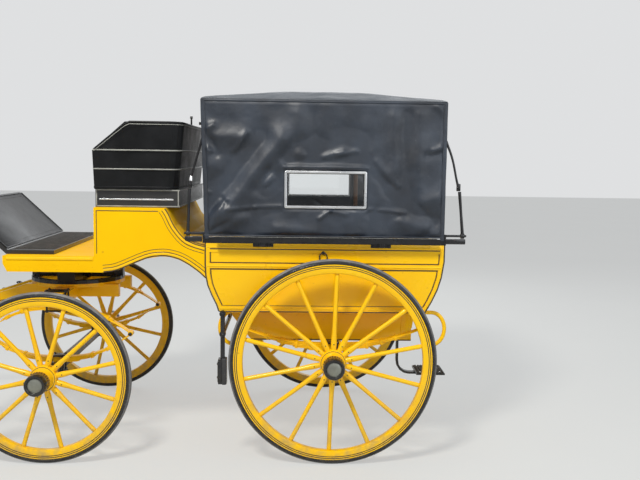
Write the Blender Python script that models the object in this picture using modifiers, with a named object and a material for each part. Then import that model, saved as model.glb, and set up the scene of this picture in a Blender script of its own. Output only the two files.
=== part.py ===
"""Four-wheeled horse-drawn wagonette with a leather head that opens along its middle.

Metres, +Z up. The carriage faces -X, its left side is -Y.
The model is laid out from the rear axle: the empty "carriage" carries everything and
puts the middle of the whole length at the origin, on the ground.
"""
import math

import bmesh
import bpy
from mathutils import Matrix, Vector

# Wheels
REAR_WHEEL_DIAMETER = 1.10
FRONT_WHEEL_DIAMETER = 0.914
WHEELBASE = 1.51
WHEEL_OUT = 0.19
REAR_SPOKE_COUNT = 14
FRONT_SPOKE_COUNT = 12
SPOKE_TURN_SHARE = 0.43
TYRE_DEPTH = 0.027
TYRE_WIDTH = 0.036
TYRE_SHOULDER = 0.0095
FELLOE_DEPTH = 0.048
FELLOE_WIDTH = 0.042
SPOKE_WIDTH = 0.024
SPOKE_TENON_WIDTH = 0.026
SPOKE_FOOT_WIDTH = 0.032
SPOKE_FOOT_RADIUS = 0.100
SPOKE_THICKNESS = 0.028
SPOKE_SIDES = 6
NAVE_STEPS = 16
RIM_STEPS = 36
BAR_SIDES = 16
PIN_SIDES = 12
NAVE_FLANGE_RADIUS = 0.071
NAVE_BARREL_RADIUS = 0.052
NAVE_END_RADIUS = 0.046
NAVE_CAP_RADIUS = 0.056
NAVE_BACK = 0.090
NAVE_FLANGE_HALF = 0.022
NAVE_CAP_START = 0.100
NAVE_FRONT = 0.155
NAVE_FACE_RADIUS = 0.038
NAVE_FACE_SINK = 0.012
NAVE_CHAMFER = 0.006

# Axles
AXLE_BEAM = 0.045
AXLE_ARM_RADIUS = 0.022
AXLE_ARM_REACH = 0.080
RUNNING_GAP = 0.0007
SHOULDER_GAP = 0.002

# Passenger body
BODY_WIDTH = 1.18
BODY_TOP = 1.163
BODY_BOTTOM = 0.797
BODY_FRONT = 0.682
BODY_REAR = 0.594
FRONT_TURN = 0.072
REAR_TURN = 0.097
SIDE_WALL = 0.025
END_WALL = 0.022
DOOR_WALL = 0.024
DOOR_WIDTH = 0.52
DOOR_PLAY = 0.005
DOOR_LOW_EDGE = 0.630
DOOR_LOW_SET_IN = 0.118
DOOR_HINGE_OUT = 0.020
DOOR_HINGE_RADIUS = 0.009
DOOR_HINGE_LENGTH = 0.060
DOOR_HINGE_SHARES = (0.426, 0.86)
DOOR_GUDGEON_LENGTH = 0.014
DOOR_GUDGEON_REACH = 0.050
MOULDING_DEPTH = 0.0035
MOULDING_WIDTH = 0.025
MOULDING_TRIM = 0.012
MOULDING_TOP = 1.116
MOULDING_BELT = 1.030
MOULDING_FOOT = 0.802
FLOOR_BOARD = 0.015
WELL_WIDTH = 0.84
WELL_BOTTOM = 0.602
WELL_WALL = 0.020
WELL_TOP_FRONT = 0.575
WELL_MID_FRONT = 0.548
WELL_MID_HEIGHT = 0.735
WELL_FOOT_FRONT = 0.444
WELL_REAR_INSET = 0.024
SEAT_BOX_INNER = 0.24
SEAT_BOX_TOP = 1.03
SEAT_BOX_FRONT = 0.575
SEAT_BOX_REAR = 0.462
CUSHION_THICKNESS = 0.075
CUSHION_NOSE = 0.012

# Springs and the irons that hold them
SPRING_CLEARANCE = 0.0775
SPRING_WIDTH = 0.045
REAR_SPRING_HALF = 0.485
REAR_SPRING_CAMBER = 0.085
REAR_LEAF = 0.008
REAR_LEAF_SHARES = (1.0, 0.80, 0.62, 0.44, 0.27)
SPRING_EYE_RADIUS = 0.014
FRONT_SPRING_SIDE = 0.44
FRONT_SPRING_HALF = 0.400
FRONT_LEAF = 0.0075
FRONT_LEAF_SHARES = (1.0, 0.76, 0.52, 0.30)
SCROLL_RADIUS = 0.011
SCROLL_REACH = 0.631
SCROLL_FRONT_REACH = 0.622
SCROLL_DROP = 0.205
SCROLL_WIDTH = 0.085
EDGE_PLATE = 0.012
EDGE_PLATE_WIDTH = 0.040
SHACKLE_RADIUS = 0.007

# Rear brake and step
BRAKE_BAR_RADIUS = 0.012
BRAKE_BAR_HEIGHT = 0.700
BRAKE_HANGER_SIDE = 0.30
BRAKE_HANGER_WIDTH = 0.030
BRAKE_ARM_TOP = 0.819
BRAKE_BLOCK_HEIGHT = 0.132
BRAKE_BLOCK_DEPTH = 0.044
BRAKE_BLOCK_WIDTH = 0.050
BRAKE_BLOCK_MIDDLE = 0.503
BRAKE_GAP = 0.007
STEP_REAR = 0.715
STEP_TREAD_LENGTH = 0.175
STEP_TREAD_WIDTH = 0.190
STEP_TREAD_THICKNESS = 0.010
STEP_HEIGHT = 0.325
STEP_STEM_FRONT = 0.430
STEP_STEM_WIDTH = 0.034
STEP_STEM_THICKNESS = 0.014
STEP_BEND = 0.075

# Neck, boot and driver's seat
ARCH_TOP = 1.089
ARCH_LOW = 0.973
ARCH_CROWN = 0.920
ARCH_FRONT = 1.22
ARCH_FALL_STEPS = 4
BOOT_BOTTOM = 1.00
BOOT_FRONT = 1.75
NECK_TOP = 1.145
BOOT_TOP = 1.345
BOOT_BACK = 0.893
HEEL_FRONT = 1.27
FOOT_FLOOR = 1.085
FOOTBOARD_THICKNESS = 0.022
FOOTBOARD_WIDTH = 1.04
FOOTBOARD_REAR = 1.50
TOE_RISE = 0.26
TOE_REACH = 0.28
RISER_TOP = 1.441
RISER_REAR = 0.827
RISER_WIDTH = 1.08
SEAT_BACK_TOP = 1.796
SEAT_WALL = 0.018
SEAT_WIDTH = 1.11
SEAT_FLARE = 0.035
SEAT_REAR = 0.845
SEAT_CORNER = 0.07
SEAT_ARM_DROP = 0.15
SEAT_ARM_LENGTH = 0.17
SEAT_CORNER_STEPS = 4
SEAT_MOULDING_RADIUS = 0.005
SEAT_MOULDING_LOW = 1.549
SEAT_MOULDING_HIGH = 1.648
DRIVER_CUSHION_THICKNESS = 0.08

# Fore-carriage
RING_RADIUS = 0.25
RING_WIDTH = 0.040
RING_THICKNESS = 0.020
RING_GAP = 0.0005
KING_PIN_RADIUS = 0.016
TOP_BED_WIDTH = 0.10
TOP_BED_HEIGHT = 0.098
LOW_BED_WIDTH = 0.09
LOW_BED_HEIGHT = 0.062
LOW_BED_SPAN = 1.00
FUTCHELL_SIDE = 0.17
FUTCHELL_WIDTH = 0.040
FUTCHELL_REAR = 0.28
SPLINTER_FORWARD = 0.53
SPLINTER_HEIGHT = 0.70
SPLINTER_SIZE = 0.055
SPLINTER_SPAN = 1.10
SHAFT_SIDE = 0.36
SHAFT_PIVOT_FORWARD = 0.075
SHAFT_LENGTH = 2.12
SHAFT_RADIUS = 0.026
SHAFT_TIP_SHARE = 0.72
SHAFT_HEIGHT = 0.17
SHAFT_EYE_RADIUS = 0.020
SHAFT_EYE_LENGTH = 0.040
SHAFT_PIN_RADIUS = 0.009
SHAFT_LUG = 0.010
SHAFT_CROSSBAR_SHARE = 0.17

# Folding head
HEAD_FRONT = 0.704
HEAD_REAR = 0.587
HEAD_CORNER = 1.925
HEAD_OUTER = 0.592
HEAD_LEATHER = 0.006
HEAD_END_HEIGHT = 0.040
HEAD_CROWN_HEIGHT = 0.043
HEAD_RIDGE_GAP = 0.008
ROOF_PLAY = 0.0011
ROOF_KNUCKLE_RADIUS = 0.008
ROOF_LUG_WIDTH = 0.011
KNUCKLE_GAP = 0.0005
ROOF_COLUMNS = 8
ROOF_ROWS = 4
HEAD_AXIS_SIDE = 0.583
HEAD_AXIS_CLEARANCE = 0.020
HEAD_LOW_CLEARANCE = 0.010
ROOF_AXIS_SIDE = 0.574
ROOF_AXIS_HEIGHT = 1.880
BOW_WIDTH = 0.028
BOW_DEPTH = 0.018
ROOF_BOW_DEPTH = 0.015
ROOF_RAIL_WIDTH = 0.025
ROOF_RAIL_DEPTH = 0.010
ROOF_RAIL_SINK = 0.007
ROOF_RAIL_STEPS = 6
CORNER_GAP = 0.0015
WINDOW_FRONT = 0.266
WINDOW_REAR = 0.171
WINDOW_LOW = 1.354
WINDOW_HIGH = 1.553
WINDOW_FRAME_WIDTH = 0.014
WINDOW_FRAME_DEPTH = 0.008
WINDOW_LIP = 0.004
GLASS_THICKNESS = 0.004
SILL_HEIGHT = 0.032
SILL_WIDTH = 0.042
IRON_RADIUS = 0.009
IRON_KNUCKLE_RADIUS = 0.0125
IRON_EYE_RADIUS = 0.015
IRON_EYE_LENGTH = 0.020
IRON_PIN_RADIUS = 0.007
IRON_FRONT_EYE = 0.775
IRON_REAR_EYE = 0.690
IRON_MEETING_SHARE = 0.82
REST_RAIL_FRONT = 0.631
REST_RAIL_REAR = 0.544
REST_RAIL_SIDE = 0.640
REST_RAIL_TOP = 1.203
REST_RAIL_SIZE = 0.030
REST_FOOT_WIDTH = 0.108
REST_FOOT_HEIGHT = 0.022
REST_FOOT_PLACES = (-0.376, 0.252)
SEAT_GAP = 0.0003
OVERRUN = 0.05

# Outline tables. Each row: share of the height, share of the turn that the end sets in.
BODY_FRONT_SHARES = ((0.0, 1.0), (0.09, 0.86), (0.24, 0.49), (0.385, 0.19), (0.53, 0.04), (0.72, 0.0),
                     (1.0, 0.0))
BODY_REAR_SHARES = ((0.0, 1.0), (0.164, 0.65), (0.344, 0.34), (0.525, 0.134), (0.762, 0.0), (1.0, 0.0))
# Each row: share of the run from body to boot, share of the rise.
NECK_SHARES = ((0.0, 0.0), (0.29, 0.09), (0.52, 0.22), (0.76, 0.53), (0.91, 0.85), (1.0, 1.0))
ARCH_SHARES = ((0.0, 0.0), (0.14, 0.27), (0.36, 0.60), (0.58, 0.85), (0.80, 0.98), (1.0, 1.0))
# Each row: share of the way in from the iron's eye to the end bow, share of the bow's height.
IRON_KNEE_SHARES = ((0.18, 0.36), (0.34, 0.46))
# Each row: share of the shaft's length, share of its rise.
SHAFT_SHARES = ((0.0, 0.0), (0.10, 0.12), (0.22, 0.50), (0.38, 0.85), (0.58, 1.0), (0.80, 0.95), (1.0, 0.62))

COLOURS = {
    "yellow": ((0.90, 0.52, 0.01), 0.25, 0.0),
    "leather": ((0.018, 0.020, 0.024), 0.42, 0.0),
    "iron": ((0.012, 0.012, 0.013), 0.35, 0.3),
    "rubber": ((0.03, 0.03, 0.032), 0.75, 0.0),
    "wood": ((0.16, 0.07, 0.03), 0.45, 0.0),
    "cloth": ((0.02, 0.03, 0.07), 0.85, 0.0),
    "silver": ((0.80, 0.82, 0.84), 0.25, 0.8),
    "glass": ((0.75, 0.82, 0.84), 0.05, 0.0),
}

rear_radius = REAR_WHEEL_DIAMETER / 2
front_radius = FRONT_WHEEL_DIAMETER / 2
half_body = BODY_WIDTH / 2
sill_top = BODY_TOP + SILL_HEIGHT
head_axis_height = sill_top + HEAD_AXIS_CLEARANCE
head_low_edge = sill_top + HEAD_LOW_CLEARANCE
spring_side = WELL_WIDTH / 2 + SPRING_CLEARANCE + SPRING_WIDTH / 2
track = 2 * (spring_side + WHEEL_OUT)
inner_half_body = half_body - SIDE_WALL - SEAT_GAP
fore_x = -WHEELBASE
ring_low = BOOT_BOTTOM - SEAT_GAP - TOP_BED_HEIGHT - RING_THICKNESS * 2 - RING_GAP
splinter_x = fore_x - SPLINTER_FORWARD
shaft_pivot_x = splinter_x - SHAFT_PIVOT_FORWARD
shaft_pivot_z = SPLINTER_HEIGHT
shaft_tip_radius = SHAFT_RADIUS * SHAFT_TIP_SHARE
shaft_tip_rise = SHAFT_HEIGHT * SHAFT_SHARES[-1][1]
shaft_tip_slope = math.atan2(SHAFT_HEIGHT * (SHAFT_SHARES[-2][1] - SHAFT_SHARES[-1][1]),
                             SHAFT_LENGTH * (SHAFT_SHARES[-1][0] - SHAFT_SHARES[-2][0]))
tip_run = shaft_tip_radius * math.sin(shaft_tip_slope)
tip_half_height = shaft_tip_radius * math.cos(shaft_tip_slope)
low_run, low_rise = SHAFT_LENGTH - tip_run, shaft_tip_rise - tip_half_height
far_run, far_rise = SHAFT_LENGTH + tip_run, shaft_tip_rise + tip_half_height
shaft_rest = math.asin(shaft_pivot_z / math.hypot(low_run, low_rise)) + math.atan2(low_rise, low_run)
shaft_reach = far_run * math.cos(shaft_rest) + far_rise * math.sin(shaft_rest)
front_reach = -shaft_pivot_x + shaft_reach
rear_axle_x = (front_reach - STEP_REAR) / 2


def clear_scene():
    for item in list(bpy.data.objects):
        bpy.data.objects.remove(item, do_unlink=True)


def new_collection(name):
    group = bpy.data.collections.new(name)
    bpy.context.scene.collection.children.link(group)
    return group


clear_scene()
model = new_collection("wagonette")
cutters = new_collection("cutters")


def finish_for(colour, node):
    """A part's own material in one of the carriage's finishes."""
    rgb, roughness, metallic = COLOURS[colour]
    made = bpy.data.materials.new(node)
    made.use_nodes = True
    shader = made.node_tree.nodes["Principled BSDF"]
    shader.inputs["Base Color"].default_value = (*rgb, 1.0)
    shader.inputs["Roughness"].default_value = roughness
    shader.inputs["Metallic"].default_value = metallic
    return made


def place(item, group):
    for old in item.users_collection:
        old.objects.unlink(item)
    group.objects.link(item)
    return item


def empty(name, location, parent=None):
    point = bpy.data.objects.new(name, None)
    point.location = location
    point.parent = parent
    model.objects.link(point)
    return point


carriage = empty("carriage", (rear_axle_x, 0, 0))


def from_bmesh(name, shape, recalculate=True):
    if recalculate:
        bmesh.ops.recalc_face_normals(shape, faces=shape.faces)
    mesh = bpy.data.meshes.new(name)
    shape.to_mesh(mesh)
    shape.free()
    return link(name, mesh)


def link(name, mesh):
    item = bpy.data.objects.new(name, mesh)
    cutters.objects.link(item)
    return item


def frozen(item):
    """The evaluated shape of an object as a plain welded mesh, in place of the object."""
    bpy.context.view_layer.update()
    source = item.evaluated_get(bpy.context.evaluated_depsgraph_get())
    mesh = bpy.data.meshes.new_from_object(source)
    shape = bmesh.new()
    shape.from_mesh(mesh)
    bmesh.ops.transform(shape, matrix=item.matrix_world, verts=shape.verts)
    bmesh.ops.remove_doubles(shape, verts=shape.verts, dist=0.00002)
    bmesh.ops.dissolve_degenerate(shape, edges=shape.edges, dist=0.00001)
    bmesh.ops.recalc_face_normals(shape, faces=shape.faces)
    shape.to_mesh(mesh)
    shape.free()
    name = item.name
    bpy.data.objects.remove(item, do_unlink=True)
    return link(name, mesh)


def box(low, high, name="block"):
    shape = bmesh.new()
    bmesh.ops.create_cube(shape, size=1.0)
    size = Vector(high) - Vector(low)
    middle = (Vector(high) + Vector(low)) / 2
    bmesh.ops.transform(shape, matrix=Matrix.Translation(middle) @ Matrix.Diagonal((*size, 1.0)),
                        verts=shape.verts)
    return from_bmesh(name, shape)


def cylinder(radius, start, end, sides=BAR_SIDES, name="bar", radius_end=None):
    """A round bar from one point to another."""
    start, end = Vector(start), Vector(end)
    run = end - start
    shape = bmesh.new()
    bmesh.ops.create_cone(shape, cap_ends=True, segments=sides, radius1=radius,
                          radius2=radius if radius_end is None else radius_end, depth=run.length)
    turn = Vector((0, 0, 1)).rotation_difference(run.normalized()).to_matrix().to_4x4()
    bmesh.ops.transform(shape, matrix=Matrix.Translation((start + end) / 2) @ turn, verts=shape.verts)
    return from_bmesh(name, shape)


def plate(outline, low_y, high_y, holes=(), name="plate"):
    """A flat outline in X and Z, as thick as the run from low_y to high_y."""
    data = bpy.data.curves.new(name, "CURVE")
    data.dimensions = "2D"
    data.fill_mode = "BOTH"
    data.extrude = (high_y - low_y) / 2
    for ring in (outline, *holes):
        line = data.splines.new("POLY")
        line.points.add(len(ring) - 1)
        for point, (x, z) in zip(line.points, ring):
            point.co = (x, z, 0, 1)
        line.use_cyclic_u = True
    item = link(name, data)
    item.rotation_euler = (math.pi / 2, 0, 0)
    item.location = (0, (high_y + low_y) / 2, 0)
    return frozen(item)


def tube(points, radius, name="rod", shares=None, resolution=2):
    data = bpy.data.curves.new(name, "CURVE")
    data.dimensions = "3D"
    data.bevel_depth = radius
    data.bevel_resolution = resolution
    data.use_fill_caps = True
    line = data.splines.new("POLY")
    line.points.add(len(points) - 1)
    for index, (point, place_at) in enumerate(zip(line.points, points)):
        point.co = (*place_at, 1)
        point.radius = shares[index] if shares else 1.0
    return frozen(link(name, data))


def ribbon(line, low_y, high_y, wall, offset, name="ribbon"):
    """A strip that follows a line in X and Z, with its wall on one side."""
    shape = bmesh.new()
    corners = [shape.verts.new((x, low_y, z)) for x, z in line]
    for first, second in zip(corners, corners[1:]):
        shape.edges.new((first, second))
    made = bmesh.ops.extrude_edge_only(shape, edges=shape.edges)
    moved = [part for part in made["geom"] if isinstance(part, bmesh.types.BMVert)]
    bmesh.ops.translate(shape, verts=moved, vec=(0, high_y - low_y, 0))
    item = from_bmesh(name, shape, recalculate=False)
    solid = item.modifiers.new("wall", "SOLIDIFY")
    solid.thickness = wall
    solid.offset = offset
    solid.use_even_offset = True
    return frozen(item)


def turned(profile, steps, name="turned", closed=False):
    """A profile of (radius, height) turned about Z."""
    shape = bmesh.new()
    corners = [shape.verts.new((radius, 0, height)) for radius, height in profile]
    for first, second in zip(corners, corners[1:]):
        shape.edges.new((first, second))
    if closed:
        shape.edges.new((corners[-1], corners[0]))
    mesh = bpy.data.meshes.new(name)
    shape.to_mesh(mesh)
    shape.free()
    item = link(name, mesh)
    screw = item.modifiers.new("turn", "SCREW")
    screw.steps = steps
    screw.render_steps = steps
    screw.use_merge_vertices = True
    screw.merge_threshold = 0.00005
    return frozen(item)


def joined(base, pieces, operation="UNION"):
    """Boolean of a base with each piece in turn; the pieces go away."""
    for piece in pieces:
        change = base.modifiers.new(operation.lower(), "BOOLEAN")
        change.operation = operation
        change.solver = "EXACT"
        change.object = piece
        made = frozen(base)
        bpy.data.objects.remove(piece, do_unlink=True)
        base = made
    return base


def cut(base, pieces):
    return joined(base, pieces, "DIFFERENCE")


def node(name, item, colour, parent=None, smooth=False, origin=None):
    """Names a finished shape, gives it its finish and hangs it on the carriage or a joint."""
    parent = parent or carriage
    item.name = name
    item.data.name = name
    item.data.materials.clear()
    item.data.materials.append(finish_for(colour, name))
    if smooth:
        item.data.shade_smooth()
        item.data.set_sharp_from_angle(angle=math.radians(35))
    place(item, model)
    shift = Vector((0, 0, 0)) if origin is None else Vector(origin)
    item.data.transform(Matrix.Translation(-shift))
    item.parent = parent
    return item


def mirrored(item):
    """The same shape on the other side of the carriage."""
    mesh = item.data.copy()
    shape = bmesh.new()
    shape.from_mesh(mesh)
    bmesh.ops.scale(shape, vec=(1, -1, 1), verts=shape.verts)
    bmesh.ops.reverse_faces(shape, faces=shape.faces)
    shape.to_mesh(mesh)
    shape.free()
    return link(item.name + "_copy", mesh)


def both_sides(name, item, colour, parents=(None, None), origin=None, smooth=False):
    """The left piece as built and its mirror image on the right."""
    other = mirrored(item)
    other_origin = None if origin is None else (origin[0], -origin[1], origin[2])
    node(name + "_left", item, colour, parents[0], smooth, origin)
    node(name + "_right", other, colour, parents[1], smooth, other_origin)


def rear_line(low, high, step_in=0.0):
    """The rear end's line from the well to the top, set in by a distance."""
    height = BODY_TOP - BODY_BOTTOM
    points = []
    if low < BODY_BOTTOM:
        points.append((BODY_REAR - DOOR_LOW_SET_IN - step_in, low))
    for height_share, turn_share in BODY_REAR_SHARES:
        z = BODY_BOTTOM + height * height_share
        if low <= z <= high:
            points.append((BODY_REAR - REAR_TURN * turn_share - step_in, z))
    return points


def rear_face(z):
    """How far back the rear end's outer face lies at a height on the body."""
    line = rear_line(BODY_BOTTOM, BODY_TOP)
    for (low_x, low_z), (high_x, high_z) in zip(line, line[1:]):
        if z <= high_z:
            return low_x + (high_x - low_x) * (z - low_z) / (high_z - low_z)
    return BODY_REAR


def hinge_heights():
    return [DOOR_LOW_EDGE + (BODY_TOP - DOOR_LOW_EDGE) * share for share in DOOR_HINGE_SHARES]


def gudgeons():
    """Fixed knuckles above and below each of the door's barrels, on arms from the right quarter."""
    axis_x = BODY_REAR + DOOR_HINGE_OUT
    edge = DOOR_WIDTH / 2 + DOOR_PLAY
    axis_y = edge - DOOR_PLAY / 2
    pieces = []
    for z in hinge_heights():
        near = DOOR_HINGE_LENGTH / 2 + KNUCKLE_GAP
        for sign in (-1, 1):
            low, high = sorted((z + sign * near, z + sign * (near + DOOR_GUDGEON_LENGTH)))
            root = rear_face(low) - END_WALL / 2
            pieces.append(box((root, edge, low), (axis_x, edge + DOOR_GUDGEON_REACH, high)))
            pieces.append(cylinder(DOOR_HINGE_RADIUS, (axis_x, axis_y, low), (axis_x, axis_y, high),
                                   PIN_SIDES))
    return pieces


def front_line():
    height = BODY_TOP - BODY_BOTTOM
    return [(-BODY_FRONT + FRONT_TURN * turn_share, BODY_BOTTOM + height * height_share)
            for height_share, turn_share in BODY_FRONT_SHARES]


def build_wheel(radius, spokes):
    """Nave, spokes and felloe in one piece, its axis on Z and its outer face at +Z."""
    felloe_outer = radius - TYRE_DEPTH
    felloe_inner = felloe_outer - FELLOE_DEPTH
    bore = AXLE_ARM_RADIUS + RUNNING_GAP
    bore_end = AXLE_ARM_REACH + SHOULDER_GAP
    nave = turned([
        (0, NAVE_FRONT - NAVE_FACE_SINK),
        (NAVE_FACE_RADIUS, NAVE_FRONT - NAVE_FACE_SINK),
        (NAVE_FACE_RADIUS, NAVE_FRONT),
        (NAVE_CAP_RADIUS - NAVE_CHAMFER, NAVE_FRONT),
        (NAVE_CAP_RADIUS, NAVE_FRONT - NAVE_CHAMFER),
        (NAVE_CAP_RADIUS, NAVE_CAP_START),
        (NAVE_BARREL_RADIUS, NAVE_CAP_START - NAVE_CHAMFER),
        (NAVE_BARREL_RADIUS, NAVE_FLANGE_HALF + NAVE_CHAMFER),
        (NAVE_FLANGE_RADIUS, NAVE_FLANGE_HALF),
        (NAVE_FLANGE_RADIUS, -NAVE_FLANGE_HALF),
        (NAVE_BARREL_RADIUS, -NAVE_FLANGE_HALF - NAVE_CHAMFER),
        (NAVE_END_RADIUS, -NAVE_BACK),
        (bore, -NAVE_BACK),
        (bore, bore_end),
        (0, bore_end)], NAVE_STEPS, "nave")
    half = FELLOE_WIDTH / 2
    felloe = turned([
        (felloe_outer, half),
        (felloe_outer, -half),
        (felloe_inner + NAVE_CHAMFER, -half),
        (felloe_inner, 0),
        (felloe_inner + NAVE_CHAMFER, half)], RIM_STEPS, "felloe", closed=True)
    inner = NAVE_FLANGE_RADIUS - NAVE_CHAMFER
    outer = felloe_inner + FELLOE_DEPTH / 2
    spoke = turned([
        (0, outer),
        (SPOKE_WIDTH / 2, outer),
        (SPOKE_FOOT_WIDTH / 2, SPOKE_FOOT_RADIUS),
        (SPOKE_TENON_WIDTH / 2, inner),
        (0, inner)], SPOKE_SIDES, "spoke")
    lay = Matrix.Rotation(math.pi / 2, 4,
                          "Y") @ Matrix.Diagonal((SPOKE_THICKNESS / SPOKE_FOOT_WIDTH, 1, 1, 1))
    shape = bmesh.new()
    for index in range(spokes):
        turn = Matrix.Rotation(2 * math.pi * (index + SPOKE_TURN_SHARE) / spokes, 4, "Z")
        before = len(shape.verts)
        shape.from_mesh(spoke.data)
        shape.verts.ensure_lookup_table()
        bmesh.ops.transform(shape, matrix=turn @ lay, verts=shape.verts[before:])
    bpy.data.objects.remove(spoke, do_unlink=True)
    rods = from_bmesh("spokes", shape)
    return joined(nave, [rods, felloe])


def build_tyre(radius):
    inner = radius - TYRE_DEPTH + SEAT_GAP
    half = TYRE_WIDTH / 2
    return turned([
        (radius, half - TYRE_SHOULDER),
        (radius, TYRE_SHOULDER - half),
        (radius - TYRE_SHOULDER, -half),
        (inner, -half),
        (inner, half),
        (radius - TYRE_SHOULDER, half)], RIM_STEPS, "tyre", closed=True)


def add_wheels(label, radius, spokes, x, parent, offset_x):
    """A pair of wheels and tyres, each on an empty on its own axle."""
    wheel = build_wheel(radius, spokes)
    tyre = build_tyre(radius)
    for side, sign in (("left", -1), ("right", 1)):
        axis = empty(f"{label}_{side}_axis", (x - offset_x, sign * track / 2, radius), parent)
        for kind, source, colour in (("wheel", wheel, "yellow"), ("tyre", tyre, "rubber")):
            item = link(f"{label}_{kind}", source.data.copy())
            made = node(f"{label}_{kind}_{side}", item, colour, axis, smooth=True)
            made.rotation_euler = (math.pi / 2, 0, 0 if sign < 0 else math.pi)
    for source in (wheel, tyre):
        bpy.data.objects.remove(source, do_unlink=True)


def axle(x, radius):
    shoulder = track / 2 - NAVE_BACK - SHOULDER_GAP
    half = AXLE_BEAM / 2
    beam = box((x - half, -shoulder, radius - half), (x + half, shoulder, radius + half), "axle")
    reach = track / 2 + AXLE_ARM_REACH
    arms = cylinder(AXLE_ARM_RADIUS, (x, -reach, radius), (x, reach, radius), 24, "arms")
    return joined(beam, [arms])


def leaf_outline(x, seat, half, camber, leaf, shares, steps=10):
    """A stack of leaves, flat where it is clamped to its seat, its ends turned up."""
    flat = half * shares[-1] / 2

    def height(run):
        return camber * (max(abs(run) - flat, 0) / (half - flat)) ** 2
    depth = leaf * len(shares)
    top = [(x + half * (2 * i / steps - 1),
            seat + depth + height(half * (2 * i / steps - 1))) for i in range(steps + 1)]
    low = []
    for level, share in enumerate(shares):
        run = half * share
        drop = depth - leaf * (level + 1)
        if level:
            low.append((x + run, seat + depth - leaf * level + height(run)))
        low.append((x + run, seat + drop + height(run)))
    low.append((x + flat, seat))
    mirror = [(2 * x - px, pz) for px, pz in reversed(low)]
    return top + low + mirror


def add_rear_gear():
    beam_top = rear_radius + AXLE_BEAM / 2
    node("rear_axle", axle(0, rear_radius), "iron", smooth=True)
    seat = beam_top + SEAT_GAP
    side = -spring_side
    half_width = SPRING_WIDTH / 2
    outline = leaf_outline(0, seat, REAR_SPRING_HALF, REAR_SPRING_CAMBER, REAR_LEAF, REAR_LEAF_SHARES)
    stack = plate(outline, side - half_width, side + half_width, name="leaves")
    eye_z = seat + REAR_LEAF * (len(REAR_LEAF_SHARES) - 0.5) + REAR_SPRING_CAMBER
    extras = []
    scroll_z = BODY_BOTTOM - SEAT_GAP - SCROLL_DROP + SCROLL_RADIUS
    for sign, reach in ((1, SCROLL_REACH), (-1, SCROLL_FRONT_REACH)):
        eye_x = sign * REAR_SPRING_HALF
        extras.append(cylinder(SPRING_EYE_RADIUS, (eye_x, side - half_width, eye_z),
                               (eye_x, side + half_width, eye_z), PIN_SIDES))
        end_x = sign * (reach - SCROLL_WIDTH)
        low = (end_x, scroll_z + SCROLL_RADIUS + SHACKLE_RADIUS + SEAT_GAP)
        for y in (side - half_width + SHACKLE_RADIUS * 1.5, side + half_width - SHACKLE_RADIUS * 1.5):
            extras.append(tube([(eye_x, y, eye_z), (low[0], y, low[1])], SHACKLE_RADIUS))
        extras.append(tube([(low[0], side - half_width, low[1]), (low[0], side + half_width, low[1])],
                           SHACKLE_RADIUS))
    both_sides("rear_spring", joined(stack, extras), "yellow", smooth=True)


def scroll_line(sign, reach):
    """From the edge plate, out round the scroll and back under the spring's eye."""
    top = BODY_BOTTOM - SEAT_GAP - SCROLL_RADIUS * 1.05
    low = BODY_BOTTOM - SEAT_GAP - SCROLL_DROP + SCROLL_RADIUS
    middle = (top + low) / 2
    rise = (top - low) / 2
    far = reach - SCROLL_RADIUS
    run = SCROLL_WIDTH - SCROLL_RADIUS
    points = [(sign * (far - run - SCROLL_WIDTH / 2), top)]
    steps = 8
    for index in range(steps + 1):
        angle = math.pi / 2 - math.pi * index / steps
        points.append((sign * (far - run + run * math.cos(angle)), middle + rise * math.sin(angle)))
    return points


def add_scroll_irons():
    side = -spring_side
    top = BODY_BOTTOM - SEAT_GAP
    half = EDGE_PLATE_WIDTH / 2
    ends = (-SCROLL_FRONT_REACH + SCROLL_WIDTH + SCROLL_WIDTH / 2,
            SCROLL_REACH - SCROLL_WIDTH - SCROLL_WIDTH / 2)
    bar = box((ends[0], side - half, top - EDGE_PLATE), (ends[1], side + half, top), "edge_plate")
    arms = []
    for sign, reach in ((1, SCROLL_REACH), (-1, SCROLL_FRONT_REACH)):
        arms.append(tube([(x, side, z) for x, z in scroll_line(sign, reach)], SCROLL_RADIUS))
    both_sides("scroll_iron", joined(bar, arms), "yellow", smooth=True)


def add_brake():
    block_x = -rear_radius - BRAKE_GAP
    bar_x = block_x - BRAKE_BLOCK_DEPTH / 2
    arm_y = track / 2
    bar = cylinder(BRAKE_BAR_RADIUS, (bar_x, -arm_y, BRAKE_BAR_HEIGHT), (bar_x, arm_y, BRAKE_BAR_HEIGHT),
                   PIN_SIDES)
    pieces = []
    for sign in (-1, 1):
        y = sign * arm_y
        low = BRAKE_BLOCK_MIDDLE + BRAKE_BLOCK_HEIGHT / 2
        pieces.append(tube([(bar_x, y, BRAKE_ARM_TOP), (bar_x, y, low - BRAKE_BLOCK_HEIGHT / 2)],
                           BRAKE_BAR_RADIUS))
        half = BRAKE_BLOCK_WIDTH / 2
        pieces.append(box((block_x - BRAKE_BLOCK_DEPTH, y - half, low - BRAKE_BLOCK_HEIGHT),
                          (block_x, y + half, low)))
        hanger_y = sign * BRAKE_HANGER_SIDE
        half = BRAKE_HANGER_WIDTH / 2
        thin = BRAKE_BAR_RADIUS / 2
        pieces.append(box((bar_x - thin, hanger_y - half, BRAKE_BAR_HEIGHT),
                          (bar_x + thin, hanger_y + half, BODY_BOTTOM - SEAT_GAP)))
    node("brake_gear", joined(bar, pieces), "iron")


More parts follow.
